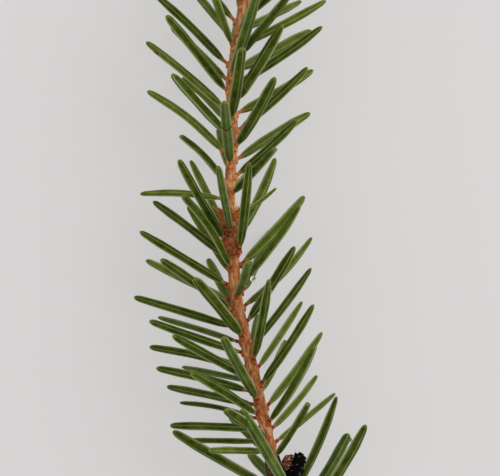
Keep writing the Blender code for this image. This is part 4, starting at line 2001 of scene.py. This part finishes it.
@dataclass
class Scales:
    """Rows of overlapping scales that hug a stem or a bud."""

    line: StemLine | Axis
    name: str
    finish: ScaleFinish
    body: Pairs
    rows: Sequence[ScaleRow]
    origin: Array
    outline: Pairs = ((0.0, 0.75), (0.25, 0.95), (0.55, 1.0), (0.8, 0.72), (0.94, 0.36), (1.0, 0.06))
    thickness: float = 0.035
    seed: int = SEED
    grid: tuple[int, int] = (10, 14)

    # How far the scales lie off the body, and the body's least radius for their way round it.
    CLEARANCE, LEAST_RADIUS = 0.03, 0.25

    # Ranges of a scale's width, slant, depth of tears and tone, and the waves of its torn edge.
    WIDTHS, SLANTS, TEARS, TONES = (0.85, 1.12), (-0.12, 0.12), (0.3, 1.6), (0.35, 1.0)
    TEAR_WAVES = 9.0

    def build(self) -> Piece:
        """Builds the scales as one piece.

        Returns:
            Their object.
        """
        chance = random.Random(self.seed)
        blank = Workbench.scale(*self.grid, self.outline, 1.0)
        width = np.maximum(between(self.outline, blank.points[:, 1]), 1e-6)
        side = np.clip(np.abs(blank.points[:, 0]) / width, 0.0, 1.0)
        edge = np.maximum(side**3, smooth_step(0.60, 1.0, blank.points[:, 1]))
        blank.values = {"share": blank.points[:, 1].copy(), "edge": edge}
        shapes = [self._laid(blank, row, index, chance) for row in self.rows for index in range(row.count)]
        return Shape.join(shapes).build(self.name, [self.finish.build()], self.origin)

    def _laid(self, blank: Shape, row: ScaleRow, index: int, chance: random.Random) -> Shape:
        """Lays one scale on the body, standing off it or leaning in.

        Args:
            blank: The flat scale.
            row: Its row.
            index: Its number in the row.
            chance: Source of the small differences.

        Returns:
            The scale's shape.
        """
        x, share, deep = blank.points.T
        length = row.length * chance.uniform(1.0 - 2.0 * row.ragged, 1.0 + row.ragged)
        foot = row.foot + chance.uniform(-0.5, 0.5) * row.ragged * row.length
        turn = row.turn + TAU * (index + chance.uniform(-row.wander, row.wander)) / row.count
        width = row.width * chance.uniform(*self.WIDTHS)
        tear = 0.5 + 0.5 * np.sin(self.TEAR_WAVES * x + chance.uniform(0.0, TAU))
        torn = 1.0 - row.ragged * share**2 * tear * chance.uniform(*self.TEARS)
        distance = foot + length * share * torn
        body = between(self.body, distance)
        lift = row.lift * share + row.curl * share**3 - 0.10 * max(row.lift, 0.0) * (1.0 - x**2)
        radius = body + self.CLEARANCE + lift + deep * self.thickness + self.thickness
        slant = chance.uniform(*self.SLANTS) * share
        at = turn + (x * width + slant) / np.maximum(body, self.LEAST_RADIUS)
        tone = np.full(len(x), chance.uniform(*self.TONES))
        return blank.moved(self.line.place(distance, at, radius), tone=tone)


@dataclass
class CupWall:
    """Flaring ring of grown-together old bud scales, with ribs and a torn rim.

    A notch in its rim is given by its azimuth and half width in degrees, and its depth.
    """

    growth: Growth
    finish: ScaleFinish
    profile: Pairs = ((-0.35, 1.18), (0.35, 1.18), (0.9, 1.30), (1.5, 1.60), (CUP_RIM, 1.88))
    sides: int = 96
    thickness: float = 0.07
    rib: float = 0.07
    tear: float = 0.10
    notches: Sequence[Point] = ((62.0, 16.0, 0.35), (118.0, 12.0, 0.2), (200.0, 14.0, 0.4))
    tear_size: float = 0.12
    rib_size: float = 0.4

    # Faces up the wall, radius inside and on the rim in shares of the outer one, and its ends.
    RINGS = 18
    INSIDE, RIM = 0.9, 0.95
    RIM_FOOT, INNER_FOOT = 0.99, 0.4

    def build(self) -> Piece:
        """Builds the wall: up its outer side, over the rim and down inside.

        Returns:
            Its object.
        """
        outer, inner = (0.0, self.RIM_FOOT, self.RINGS), (self.RIM_FOOT, self.INNER_FOOT, self.RINGS // 2)
        rings = [(float(height), 1.0) for height in np.linspace(*outer)]
        rings.append((1.0, self.RIM))
        rings += [(float(height), self.INSIDE) for height in np.linspace(*inner)]
        blank = Workbench.lathe(self.sides, rings)
        out, turn, height = round_places(blank.points)
        circle = np.stack((np.cos(turn), np.sin(turn), 0.0 * turn), axis=-1)
        torn = self.tear * (0.5 + rough(circle, self.tear_size, 3))
        for azimuth, width, depth in self.notches:
            aside = (np.degrees(turn) - azimuth + 180.0) % 360.0 - 180.0
            torn += depth * np.exp(-((aside / width) ** 4))
        foot = self.profile[0][0]
        shorter = 1.0 - np.maximum(torn, 0.0) * smooth_step(0.5, 1.0, height)
        distance = foot + (CUP_RIM - foot) * height * shorter
        ribs = rough(circle * 1.4 + UP * distance[:, None] * 0.25, self.rib_size, 3)
        outside = between(self.profile, distance) + self.rib * ribs
        radius = np.where(out > 0.5, outside - self.thickness * (1.0 - out) / (1.0 - self.INSIDE), 0.0)
        edge = smooth_step(0.84, 1.0, height)
        points = self.growth.stem.place(distance, turn, radius)
        shape = blank.moved(points, share=height, edge=edge, tone=0.7 + 0.6 * ribs)
        return shape.build("bud_scale_cup_wall", [self.finish.build()], self.growth.origin)


@dataclass
class Bud:
    """Egg-shaped bud in overlapping pointed scales."""

    growth: Growth
    seat: BudSeat
    core: MixedFinish
    scales: ScaleFinish
    row_count: int = 6

    OUTLINE = ((0.0, 0.8), (0.35, 1.0), (0.65, 0.8), (0.85, 0.4), (1.0, 0.05))
    CORE_FOOT = ((-0.28, 0.40), (-0.12, 0.44), (0.0, 0.56))
    CORE_TIP = ((0.93, 0.24), (0.985, 0.08))
    CORE_SIDES = 28
    CORE_GIRTH, BODY_GIRTH = 0.96, 0.97
    ROW_TURN = 2.2

    def build(self) -> list[Piece]:
        """Builds the bud's core and its scales.

        Returns:
            The two objects.
        """
        axis, origin, name = self.growth.axes[self.seat.name], self.growth.origin, self.seat.name
        length, radius = self.seat.length, self.seat.radius
        outline = (*self.CORE_FOOT, *BUD_OUTLINE[1:-1], *self.CORE_TIP)
        core_rings = [(share, self.CORE_GIRTH * width) for share, width in outline]
        blank = Workbench.lathe(self.CORE_SIDES, core_rings)
        out, turn, share = round_places(blank.points)
        points = axis.place(share * length, turn, out * radius)
        core = blank.moved(points).build(name + "_core", [self.core.build()], origin)
        body = [(share * length, width * radius * self.BODY_GIRTH) for share, width in outline]
        rows = [self._row(step, body) for step in range(self.row_count)]
        look = {"outline": self.OUTLINE, "seed": SEED + len(name)}
        scales = Scales(axis, name + "_scales", self.scales, body, rows, origin, **look)
        return [core, scales.build()]

    def _row(self, step: int, body: Pairs) -> ScaleRow:
        """Plans one row of the bud's scales.

        Args:
            step: Its number, from the foot.
            body: The core's radius along the bud.

        Returns:
            The row.
        """
        length, radius = self.seat.length, self.seat.radius
        foot = (-0.05 + 0.145 * step) * length
        return ScaleRow(
            count=5,
            foot=foot,
            length=(0.42 - 0.018 * step) * length,
            width=0.80 * float(between(body, foot + 0.15 * length)),
            lift=0.035 * radius,
            curl=0.05 * radius,
            turn=self.ROW_TURN * step,
            ragged=0.06,
        )


@dataclass(frozen=True)
class Lump:
    """One crumbled lobe: its place along, aside of and over a bud's axis, and its half sizes."""

    along: float
    aside: float
    over: float
    half: tuple[float, float, float]


@dataclass
class DeadBud:
    """Dead bud that has crumbled to black lumps on a few red-brown scales."""

    growth: Growth
    char: MixedFinish
    rot: MixedFinish
    foot_scales: ScaleFinish
    resin: MixedFinish
    lumps: Sequence[Lump] = (
        Lump(1.50, 0.30, 0.0, (1.02, 0.84, 0.95)),
        Lump(0.55, 0.70, 0.3, (0.85, 0.90, 0.85)),
        Lump(-0.30, 0.60, 0.1, (0.85, 0.85, 0.85)),
    )
    rusty: Lump = Lump(0.55, -0.75, 0.0, (0.95, 0.62, 0.75))
    knob_size: float = 0.30
    knob_height: float = 0.34
    specks: int = 46

    # Shares of the rusty lobe's length at which its scales' body is measured.
    SHARES = (-1.0, -0.9, -0.6, -0.2, 0.2, 0.6, 0.9, 1.0)
    LEAST_WIDTH = 0.02

    # Ranges of a speck's place along the lobe, turn round it, stretch and radius.
    SPECK_AT, SPECK_TURN = (-0.6, 0.9), (0.6, 2.9)
    SPECK_STRETCH, SPECK_RADIUS = (0.6, 1.5), (0.02, 0.07)

    def _knobbly(self, ball: Shape, lump: Lump) -> Shape:
        """Sets a ball on the axis as a lobe, and roughens it.

        Args:
            ball: A ball of radius 1.
            lump: The lobe's place and size.

        Returns:
            The lobe.
        """
        axis = self.growth.axes[DEAD_SEAT.name]
        frame = axis.frame()
        half = np.array(lump.half)
        rest = axis.foot + (ball.points * half + (lump.along, lump.aside, lump.over)) @ frame
        outward = unit(ball.points / half) @ frame
        nearest = np.array([noise.voronoi(Vector(place))[0][0] for place in rest / self.knob_size])
        knobs = 1.0 - np.minimum(nearest / 0.75, 1.0) ** 2
        height = self.knob_height * (knobs - 0.6) + 0.20 * rough(rest, 0.8, 4) + 0.05 * rough(rest, 0.15, 2)
        return ball.moved(rest + outward * height[:, None])

    def _specks(self, side: Axis, body: Pairs) -> Shape:
        """Strews specks of resin over the rusty lobe.

        Args:
            side: The lobe's axis.
            body: Its radius along that.

        Returns:
            The specks.
        """
        chance = random.Random(SEED + 11)
        ball = Workbench.ball(2)
        specks = []
        for _ in range(self.specks):
            at, turn = (np.array((chance.uniform(*ends),)) for ends in (self.SPECK_AT, self.SPECK_TURN))
            spot = side.place(at, turn, between(body, at) + 0.10)
            stretch = np.array([chance.uniform(*self.SPECK_STRETCH) for _ in range(3)])
            specks.append(ball.moved(spot + ball.points * chance.uniform(*self.SPECK_RADIUS) * stretch))
        return Shape.join(specks)

    def build(self) -> list[Piece]:
        """Builds the lumps, their foot of scales and the specks of resin on it.

        Returns:
            The objects, the lumps first.
        """
        axis, origin = self.growth.axes[DEAD_SEAT.name], self.growth.origin
        ball = Workbench.ball(6)
        lobes = Shape.join([self._knobbly(ball, lump) for lump in self.lumps])
        lump_piece = lobes.build("dead_bud_lumps", [self.char.build()], origin)
        rusty = self.rusty
        beside = axis.foot + axis.ahead * rusty.along + axis.to_right * rusty.aside + axis.over * rusty.over
        side = Axis(beside, axis.ahead)
        reach, width, _ = rusty.half
        swells = [(share, math.sqrt(max(1.0 - share**2, self.LEAST_WIDTH))) for share in self.SHARES]
        body = [(share * reach, width * swell) for share, swell in swells]
        heights = [-0.95 + 0.36 * step for step in range(5)]
        rows = [ScaleRow(5, reach * at, 0.62, 0.34, 0.05, 0.08, 1.3 * at, 0.35, 0.3) for at in heights]
        scales = Scales(side, "dead_bud_scales", self.foot_scales, body, rows, origin, seed=SEED + 3)
        core = Workbench.ball(5)
        rounded = beside + (core.points * np.array(rusty.half) * 0.98) @ axis.frame()
        knobbly = rounded + (core.points @ axis.frame()) * (0.12 * rough(rounded, 0.35, 3))[:, None]
        core_piece = core.moved(knobbly).build("dead_bud_core", [self.rot.build()], origin)
        resin = self._specks(side, body).build("dead_bud_resin", [self.resin.build()], origin)
        return [lump_piece, core_piece, scales.build(), resin]


@dataclass
class CutFace:
    """Cut end of the old wood."""

    growth: Growth
    finish: CutFinish
    radius: float = 1.30
    depth: float = 0.3
    unevenness: float = 0.03
    sides: int = 40

    RINGS = (
        (0.0, 0.96), (0.4, 1.0), (0.9, 1.0), (1.0, 0.97), (1.0, 0.86), (1.0, 0.72),
        (1.0, 0.58), (1.0, 0.44), (1.0, 0.30), (1.0, 0.16), (1.0, 0.06),
    )

    def build(self) -> Piece:
        """Builds a thin disc whose face is slightly uneven.

        Returns:
            Its object.
        """
        blank = Workbench.lathe(self.sides, self.RINGS)
        out, turn, share = round_places(blank.points)
        facing = (share > 0.95) * (out < 0.9)
        dent = self.unevenness * (0.5 + 0.5 * rough(blank.points * 2.0, 0.9)) * facing
        distance = CUT + dent + self.depth * (1.0 - share)
        points = self.growth.stem.place(distance, turn, out * self.radius)
        return blank.moved(points, out=out).build("cut_face", [self.finish.build()], self.growth.origin)


@dataclass
class Beads:
    """Beads of melt water that hang on needles: place along the twig's own axes, and radius."""

    growth: Growth
    finish: WaterFinish
    beads: Sequence[tuple[Point, float]] = (
        ((2.8, -6.98, 1.0), 0.38),
        ((4.93, -8.35, 6.65), 0.20),
        ((15.2, -27.9, -5.3), 0.36),
    )

    def build(self) -> Piece:
        """Builds the beads as one piece.

        Returns:
            Their object.
        """
        ball = Workbench.ball(4)
        shapes = [ball.moved(ball.points * radius + place) for place, radius in self.beads]
        return Shape.join(shapes).build("water_beads", [self.finish.build()], self.growth.origin)


@dataclass
class Studio:
    """Plain pale floor, soft light and a camera that looks straight down.

    The camera stands so many millimetres from the node, and the lens and the floor are in
    millimetres too.  What the camera reaches is in metres, and so are the lamps.
    """

    growth: Growth
    camera_place: Point = (2.4375, -1.9375, 173.6)
    lens: float = 100.0
    sensor: float = 36.0
    nearest: float = 0.005
    farthest: float = 5.0
    floor_half: float = 900.0
    floor_drop: float = 0.05
    sky: float = 0.60
    sky_colour: Colour = (1.0, 0.995, 0.985)
    lamp_width: float = 0.45

    def build(self) -> None:
        """Sets the studio up."""
        scene = bpy.context.scene
        Workbench.clear()
        place = (0.0, 0.0, -self.floor_drop * MM)
        bpy.ops.mesh.primitive_plane_add(size=2.0 * self.floor_half * MM, location=place)
        floor = bpy.context.object
        floor.name = "floor"
        floor.data.materials.append(FloorFinish("floor").build())
        world = bpy.data.worlds.new("soft_light")
        world.use_nodes = True
        sky = world.node_tree.nodes["Background"]
        sky.inputs["Color"].default_value = (*self.sky_colour, 1.0)
        sky.inputs["Strength"].default_value = self.sky
        scene.world = world
        self._lamp("key", (0.36, 0.16, 0.34), 1.5)
        self._lamp("fill", (-0.34, -0.10, 0.36), 0.5)
        data = bpy.data.cameras.new("camera")
        data.lens, data.sensor_width = self.lens, self.sensor
        data.clip_start, data.clip_end = self.nearest, self.farthest
        camera = bpy.data.objects.new("camera", data)
        camera.location = Vector((self.growth.origin + self.camera_place) * MM)
        scene.collection.objects.link(camera)
        scene.camera = camera
        scene.view_settings.view_transform = "Standard"

    def _lamp(self, name: str, place: Point, power: float) -> None:
        """Adds a wide lamp that faces the twig.

        Args:
            name: Its name.
            place: Where it stands, in metres.
            power: Its power in watts.
        """
        data = bpy.data.lights.new(name, "AREA")
        data.shape, data.size, data.energy = "DISK", self.lamp_width, power
        lamp = bpy.data.objects.new(name, data)
        lamp.location = place
        lamp.rotation_mode = "QUATERNION"
        lamp.rotation_quaternion = (-Vector(place)).to_track_quat("-Z", "Y")
        bpy.context.scene.collection.objects.link(lamp)


@dataclass(frozen=True)
class Dress:
    """What covers one stretch of stem: its finishes, its habits and its bark's own sizes."""

    stretch: Stretch
    name: str
    bark: BarkFinish | OldBarkFinish
    pegs: PegFinish
    slot: str
    overlap: tuple[float, float]
    habits: dict[int, Habit]
    form: dict[str, Any] = field(default_factory=dict)


# Old wood is coarse, and keeps the pegs of the needles that it has lost.
LOST_NEEDLES = [(CUT + 0.45 + 0.50 * step, 40.0 - 136.9 * step) for step in range(19)]
OLD_FORM = {"more_pegs": LOST_NEEDLES, "ridge_half": (0.6, 1.5), "ridge_height": 0.12}
OLD_FORM |= {"roughness": 0.10, "swelling": 0.22}

DEEP, FRESH, BLOOM, UNDER = Shade

# Habits by the needles' numbers, given for those that stray, and each stretch's dress.
OLD_HABITS = {
    0: Habit(1.35, tip=(0.0, 0.45), shade=DEEP), 1: Habit(1.1, tip=(-1.4, 0.0), shade=BLOOM),
    2: Habit(1.15, bend=0.7, foot=(0.85, 0.0), tip=(1.1, 2.5), shade=BLOOM),
    3: Habit(1.15, tip=(1.2, 0.5), shade=DEEP), 5: Habit(1.35, tip=(0.55, -0.75), shade=BLOOM),
    6: Habit(1.3, tip=(-0.2, 0.5), shade=DEEP),
}
OLD_DRESS = Dress(
    STRETCHES[0],
    "old_wood",
    OldBarkFinish("old_bark"),
    PegFinish("old_pegs", srgb(72, 56, 44), srgb(92, 56, 36), srgb(120, 78, 44)),
    "old_bark",
    (-0.03, 0.0),
    OLD_HABITS,
    OLD_FORM,
)
SECOND_HABITS = {
    0: Habit(tip=(-0.45, -0.3)), 2: Habit(0.85, tip=(0.5, -0.2), shade=FRESH),
    3: Habit(0.85, tip=(0.55, -0.3)), 4: Habit(0.8, tip=(0.3, -0.75), shade=DEEP),
    5: Habit(1.25, shade=DEEP), 7: Habit(tip=(0.25, 0.0), shade=DEEP),
    8: Habit(1.2, tip=(-0.6, 0.3), shade=DEEP),
    9: Habit(0.75, bend=0.55, tip=(-0.5, 0.15), shade=DEEP), 10: Habit(1.2, shade=DEEP),
    11: Habit(1.12, tip=(-0.25, -0.18)), 12: Habit(tip=(-0.34, -0.17), shade=DEEP),
    13: Habit(1.05, shade=BLOOM), 14: Habit(tip=(0.35, 0.0)),
    16: Habit(tip=(0.45, 0.45), shade=DEEP), 17: Habit(0.82, tip=(-0.5, 0.1), shade=BLOOM),
    18: Habit(1.1, tip=(0.12, 0.14), shade=DEEP), 19: Habit(tip=(-0.4, 0.0)), 20: Habit(bend=0.45),
    21: Habit(0.96, tip=(-0.35, 0.15), shade=DEEP), 23: Habit(tip=(-0.45, 0.1), shade=DEEP),
    24: Habit(0.92, tip=(-0.15, 0.5), shade=DEEP), 25: Habit(0.9, shade=BLOOM),
    26: Habit(1.25, foot=(0.1, 0.0), tip=(0.25, -0.15), shade=DEEP),
    27: Habit(foot=(-0.4, 0.0), tip=(-1.8, 0.0)),
    29: Habit(1.15, foot=(-0.1, -0.4), tip=(-1.8, -1.1), shade=DEEP),
    30: Habit(1.25, tip=(0.0, -0.5), shade=UNDER), 31: Habit(1.1, tip=(0.1, 0.5), shade=DEEP),
    32: Habit(bend=-0.45, foot=(0.2, -0.3), tip=(2.5, 1.25, 3.0), shade=UNDER),
    33: Habit(1.22, tip=(-0.3, 0.35)), 34: Habit(1.15, tip=(0.2, -0.45), shade=BLOOM),
    35: Habit(1.3, foot=(0.35, -0.25), tip=(-0.95, 0.75), shade=UNDER),
    37: Habit(1.15, foot=(0.35, -0.35), tip=(-0.2, 0.0), shade=DEEP),
    38: Habit(1.1, foot=(-0.05, 0.0), tip=(-0.6, -0.3), shade=UNDER),
    39: Habit(1.15, bend=1.1, foot=(0.2, 0.0), shade=DEEP),
    40: Habit(1.35, foot=(0.25, -0.25), tip=(0.15, -0.1), shade=FRESH),
    41: Habit(tip=(0.0, 0.3), shade=DEEP), 42: Habit(0.98, foot=(0.5, 0.15), shade=DEEP),
    44: Habit(1.15, tip=(0.1, -0.25), shade=DEEP),
    45: Habit(1.25, bend=-0.25, tip=(-0.35, 0.5, -2.5), shade=FRESH),
    47: Habit(0.8, foot=(0.05, -0.6), tip=(-0.42, -0.1)),
    48: Habit(0.62, foot=(0.1, 1.2, 0.3), tip=(0.0, -0.3, 4.5), shade=FRESH),
}
SECOND_DRESS = Dress(
    STRETCHES[1],
    "second_year",
    BarkFinish(
        "second_year_bark", srgb(196, 126, 74), srgb(138, 72, 34), srgb(108, 32, 8), srgb(222, 166, 124)
    ),
    PegFinish("second_year_pegs", srgb(162, 84, 40), srgb(124, 46, 14), srgb(180, 120, 60)),
    "shoot_bark",
    (0.35, 0.25),
    SECOND_HABITS,
)
FIRST_HABITS = {
    -1: Habit(0.85, bend=0.5, shade=FRESH), 0: Habit(1.1, tip=(-0.1, 0.25), shade=DEEP),
    2: Habit(bend=0.6, tip=(0.25, -0.3)), 3: Habit(tip=(0.2, -0.1), shade=DEEP),
    5: Habit(1.05, scar=Scar(0.595, 0.17)), 6: Habit(1.15, bend=0.3, tip=(-0.35, 0.25), shade=UNDER),
    7: Habit(bend=0.8, tip=(-0.15, 0.35), shade=FRESH),
    8: Habit(1.22, tip=(-0.6, -0.35), shade=DEEP), 9: Habit(foot=(-0.3, 0.0), tip=(-1.8, 0.0)),
    10: Habit(1.12, shade=DEEP), 11: Habit(tip=(-0.35, 0.05), shade=DEEP),
    12: Habit(1.2, bend=0.6, foot=(0.0, 0.4), tip=(0.1, 0.4), shade=UNDER),
    13: Habit(1.22, foot=(-0.25, -0.1), tip=(-0.1, 0.0)),
    14: Habit(1.15, tip=(0.05, -0.36), shade=FRESH),
    15: Habit(bend=0.5, tip=(0.0, 0.25), scar=Scar(0.84, 0.45, 1.0)), 16: Habit(1.4, shade=DEEP),
    18: Habit(1.25, bend=0.4, tip=(-0.05, 0.35), shade=DEEP),
    19: Habit(foot=(-0.1, 0.1), tip=(0.1, -0.45), shade=DEEP),
    20: Habit(bend=0.2, tip=(-0.27, 0.15), shade=FRESH), 21: Habit(1.2, foot=(-0.3, -0.3)),
    22: Habit(1.35, shade=UNDER), 23: Habit(bend=0.55), 24: Habit(1.08, tip=(1.0, -0.2), shade=DEEP),
    27: Habit(shade=FRESH), 29: Habit(tip=(1.8, 0.0)),
}
FIRST_DRESS = Dress(
    STRETCHES[2],
    "first_year",
    BarkFinish(
        "first_year_bark", srgb(202, 136, 80), srgb(158, 90, 44), srgb(148, 66, 24), srgb(230, 180, 138)
    ),
    PegFinish("first_year_pegs", srgb(200, 134, 78), srgb(180, 106, 52), srgb(188, 148, 88)),
    "shoot_bark",
    (1.1, 0.25),
    FIRST_HABITS,
)


def build_stem(growth: Growth) -> None:
    """Builds the three stretches of stem with their pegs, needles and down.

    Args:
        growth: The grown twig.
    """
    greens = [shade.value.build() for shade in Shade]
    for dress in (OLD_DRESS, SECOND_DRESS, FIRST_DRESS):
        mass, name = dress.stretch.mass, dress.name
        bark = Bark(growth, dress.stretch, name + "_stem", dress.bark, dress.overlap, **dress.form)
        show(bark.build(), dress.slot, mass.value)
        show(NeedleSpray(growth, mass, name + "_needles", greens, dress.habits).build(), "needle")
        show(Pegs(growth, mass, name + "_pegs", dress.pegs, dress.habits).build(), dress.slot)
    down = MixedFinish("down", srgb(176, 124, 82), srgb(206, 166, 124), 0.4, 0.7, 0.01)
    show(Down(growth, STRETCHES[1], "second_year_down", down, 5200, -3.0).build(), "shoot_bark")
    show(Down(growth, STRETCHES[2], "first_year_down", down, 7000, FIRST_TOP).build(), "shoot_bark")


# Outline of a scale with a blunt end, and turn, length and lift of the cup's torn pale scales.
BLUNT = ((0.0, 0.7), (0.3, 0.95), (0.7, 1.0), (0.88, 0.85), (0.96, 0.6), (1.0, 0.35))
TORN = ((4.0, 0.9, -0.3), (24.0, 1.2, -0.5), (43.0, 1.35, -0.55), (64.0, 1.1, -0.5), (83.0, 0.9, -0.4))


def build_node(growth: Growth) -> None:
    """Builds the cup of old bud scales and the scaly collars below both years' ends.

    Args:
        growth: The grown twig.
    """
    stem, origin = growth.stem, growth.origin
    dry = ScaleFinish("cup_scales", srgb(126, 54, 4), srgb(196, 120, 38), srgb(214, 164, 96), pale=0.45)
    wall = CupWall(growth, dry)
    show(wall.build(), "bud_scales", "bud_scale_cup")
    rows = (
        ScaleRow(8, -0.30, 1.9, 0.66, 0.05, 0.06, turn=0.7, ragged=0.16),
        ScaleRow(1, 0.1, 1.15, 0.36, 0.7, 0.85, turn=0.05, ragged=0.05, wander=0.0),
    )
    cup = Scales(stem, "bud_scale_cup_scales", dry, wall.profile, rows, origin, outline=BLUNT)
    show(cup.build(), "bud_scales")
    cream = ScaleFinish("torn_scales", srgb(176, 120, 66), srgb(222, 196, 150), srgb(236, 218, 184))
    rows = [ScaleRow(1, 1.25, 1.0, 0.22, 0.12, 0.10, math.radians(179.0), 0.05, 0.0)]
    rows += [
        ScaleRow(1, 1.2, length, 0.24, lift, 0.15, math.radians(turn), 0.2, 0.0)
        for turn, length, lift in TORN
    ]
    torn = Scales(stem, "bud_scale_cup_torn", cream, wall.profile, rows, origin, BLUNT, seed=SEED + 4)
    show(torn.build(), "bud_scales")
    red = ScaleFinish("collar_scales", srgb(122, 52, 18), srgb(208, 126, 66), srgb(230, 182, 142), pale=0.8)
    rows = [
        ScaleRow(7 + step % 2, -4.3 + 0.40 * step, 0.95, 0.42, 0.09, 0.10, 0.77 * step, 0.36, 0.4)
        for step in range(11)
    ]
    collar = Scales(stem, "collar_scales", red, SECOND_RADII, rows, origin, seed=SEED + 1)
    show(collar.build(), "bud_scales")
    grey = ScaleFinish("old_collar_scales", srgb(34, 22, 14), srgb(84, 58, 42), srgb(124, 104, 84), pale=0.4)
    body = ((-34.0, 1.20), (-30.6, 0.90), (-29.0, 0.74))
    rows = [ScaleRow(8, -32.4 + 0.5 * step, 1.3, 0.46, 0.05, 0.04, 0.6 * step, 0.4, 0.4) for step in range(4)]
    old = Scales(stem, "old_collar_scales", grey, body, rows, origin, BLUNT, seed=SEED + 2)
    show(old.build(), "old_bark")


def build_buds(growth: Growth) -> None:
    """Builds the end bud, the side buds and the dead bud.

    Args:
        growth: The grown twig.
    """
    core = MixedFinish("bud_core", srgb(84, 38, 20), srgb(118, 60, 32), 0.2, 0.5, 0.02)
    colours = srgb(94, 40, 20), srgb(142, 76, 40), srgb(178, 128, 86)
    scales = ScaleFinish("bud_scale", *colours, pale=0.5, roughness=0.35)
    for seat in BUD_SEATS:
        egg, cover = Bud(growth, seat, core, scales).build()
        show(egg, "bud", seat.name)
        show(cover, "bud")
    black, grey, dark, brown = srgb(9, 8, 7), srgb(104, 102, 90), srgb(50, 16, 6), srgb(150, 84, 50)
    # The grey crumbs on the black lumps are partly their own grey and partly painted highlight on the knobs.
    char = MixedFinish("dead_bud_char", black, grey, 0.42, 0.8, 0.10, (0.56, 0.76), 0.06)
    rot = MixedFinish("dead_bud_rot", dark, brown, 0.24, 0.7, 0.05, (0.42, 0.62), 0.1)
    rust = ScaleFinish("dead_bud_scale", srgb(76, 28, 12), srgb(130, 62, 32), srgb(180, 132, 98))
    resin = MixedFinish("resin", srgb(196, 156, 124), srgb(228, 206, 180), 0.1, 0.35, 0.01)
    lumps, *others = DeadBud(growth, char, rot, rust, resin).build()
    show(lumps, "dead_bud", DEAD_SEAT.name)
    for other in others:
        show(other, "dead_bud")


def main() -> None:
    """Builds the twig and its studio, piece by piece."""
    logging.basicConfig(level=logging.INFO, format="%(message)s")
    growth = Growth()
    LOG.info("grown: %s", {mass.value: len(found) for mass, found in growth.needles.items()})
    build_stem(growth)
    build_node(growth)
    build_buds(growth)
    show(CutFace(growth, CutFinish("cut_wood")).build(), "cut_wood")
    show(Beads(growth, WaterFinish("water")).build(), "needle")
    Studio(growth).build()


if __name__ == "__main__":
    main()
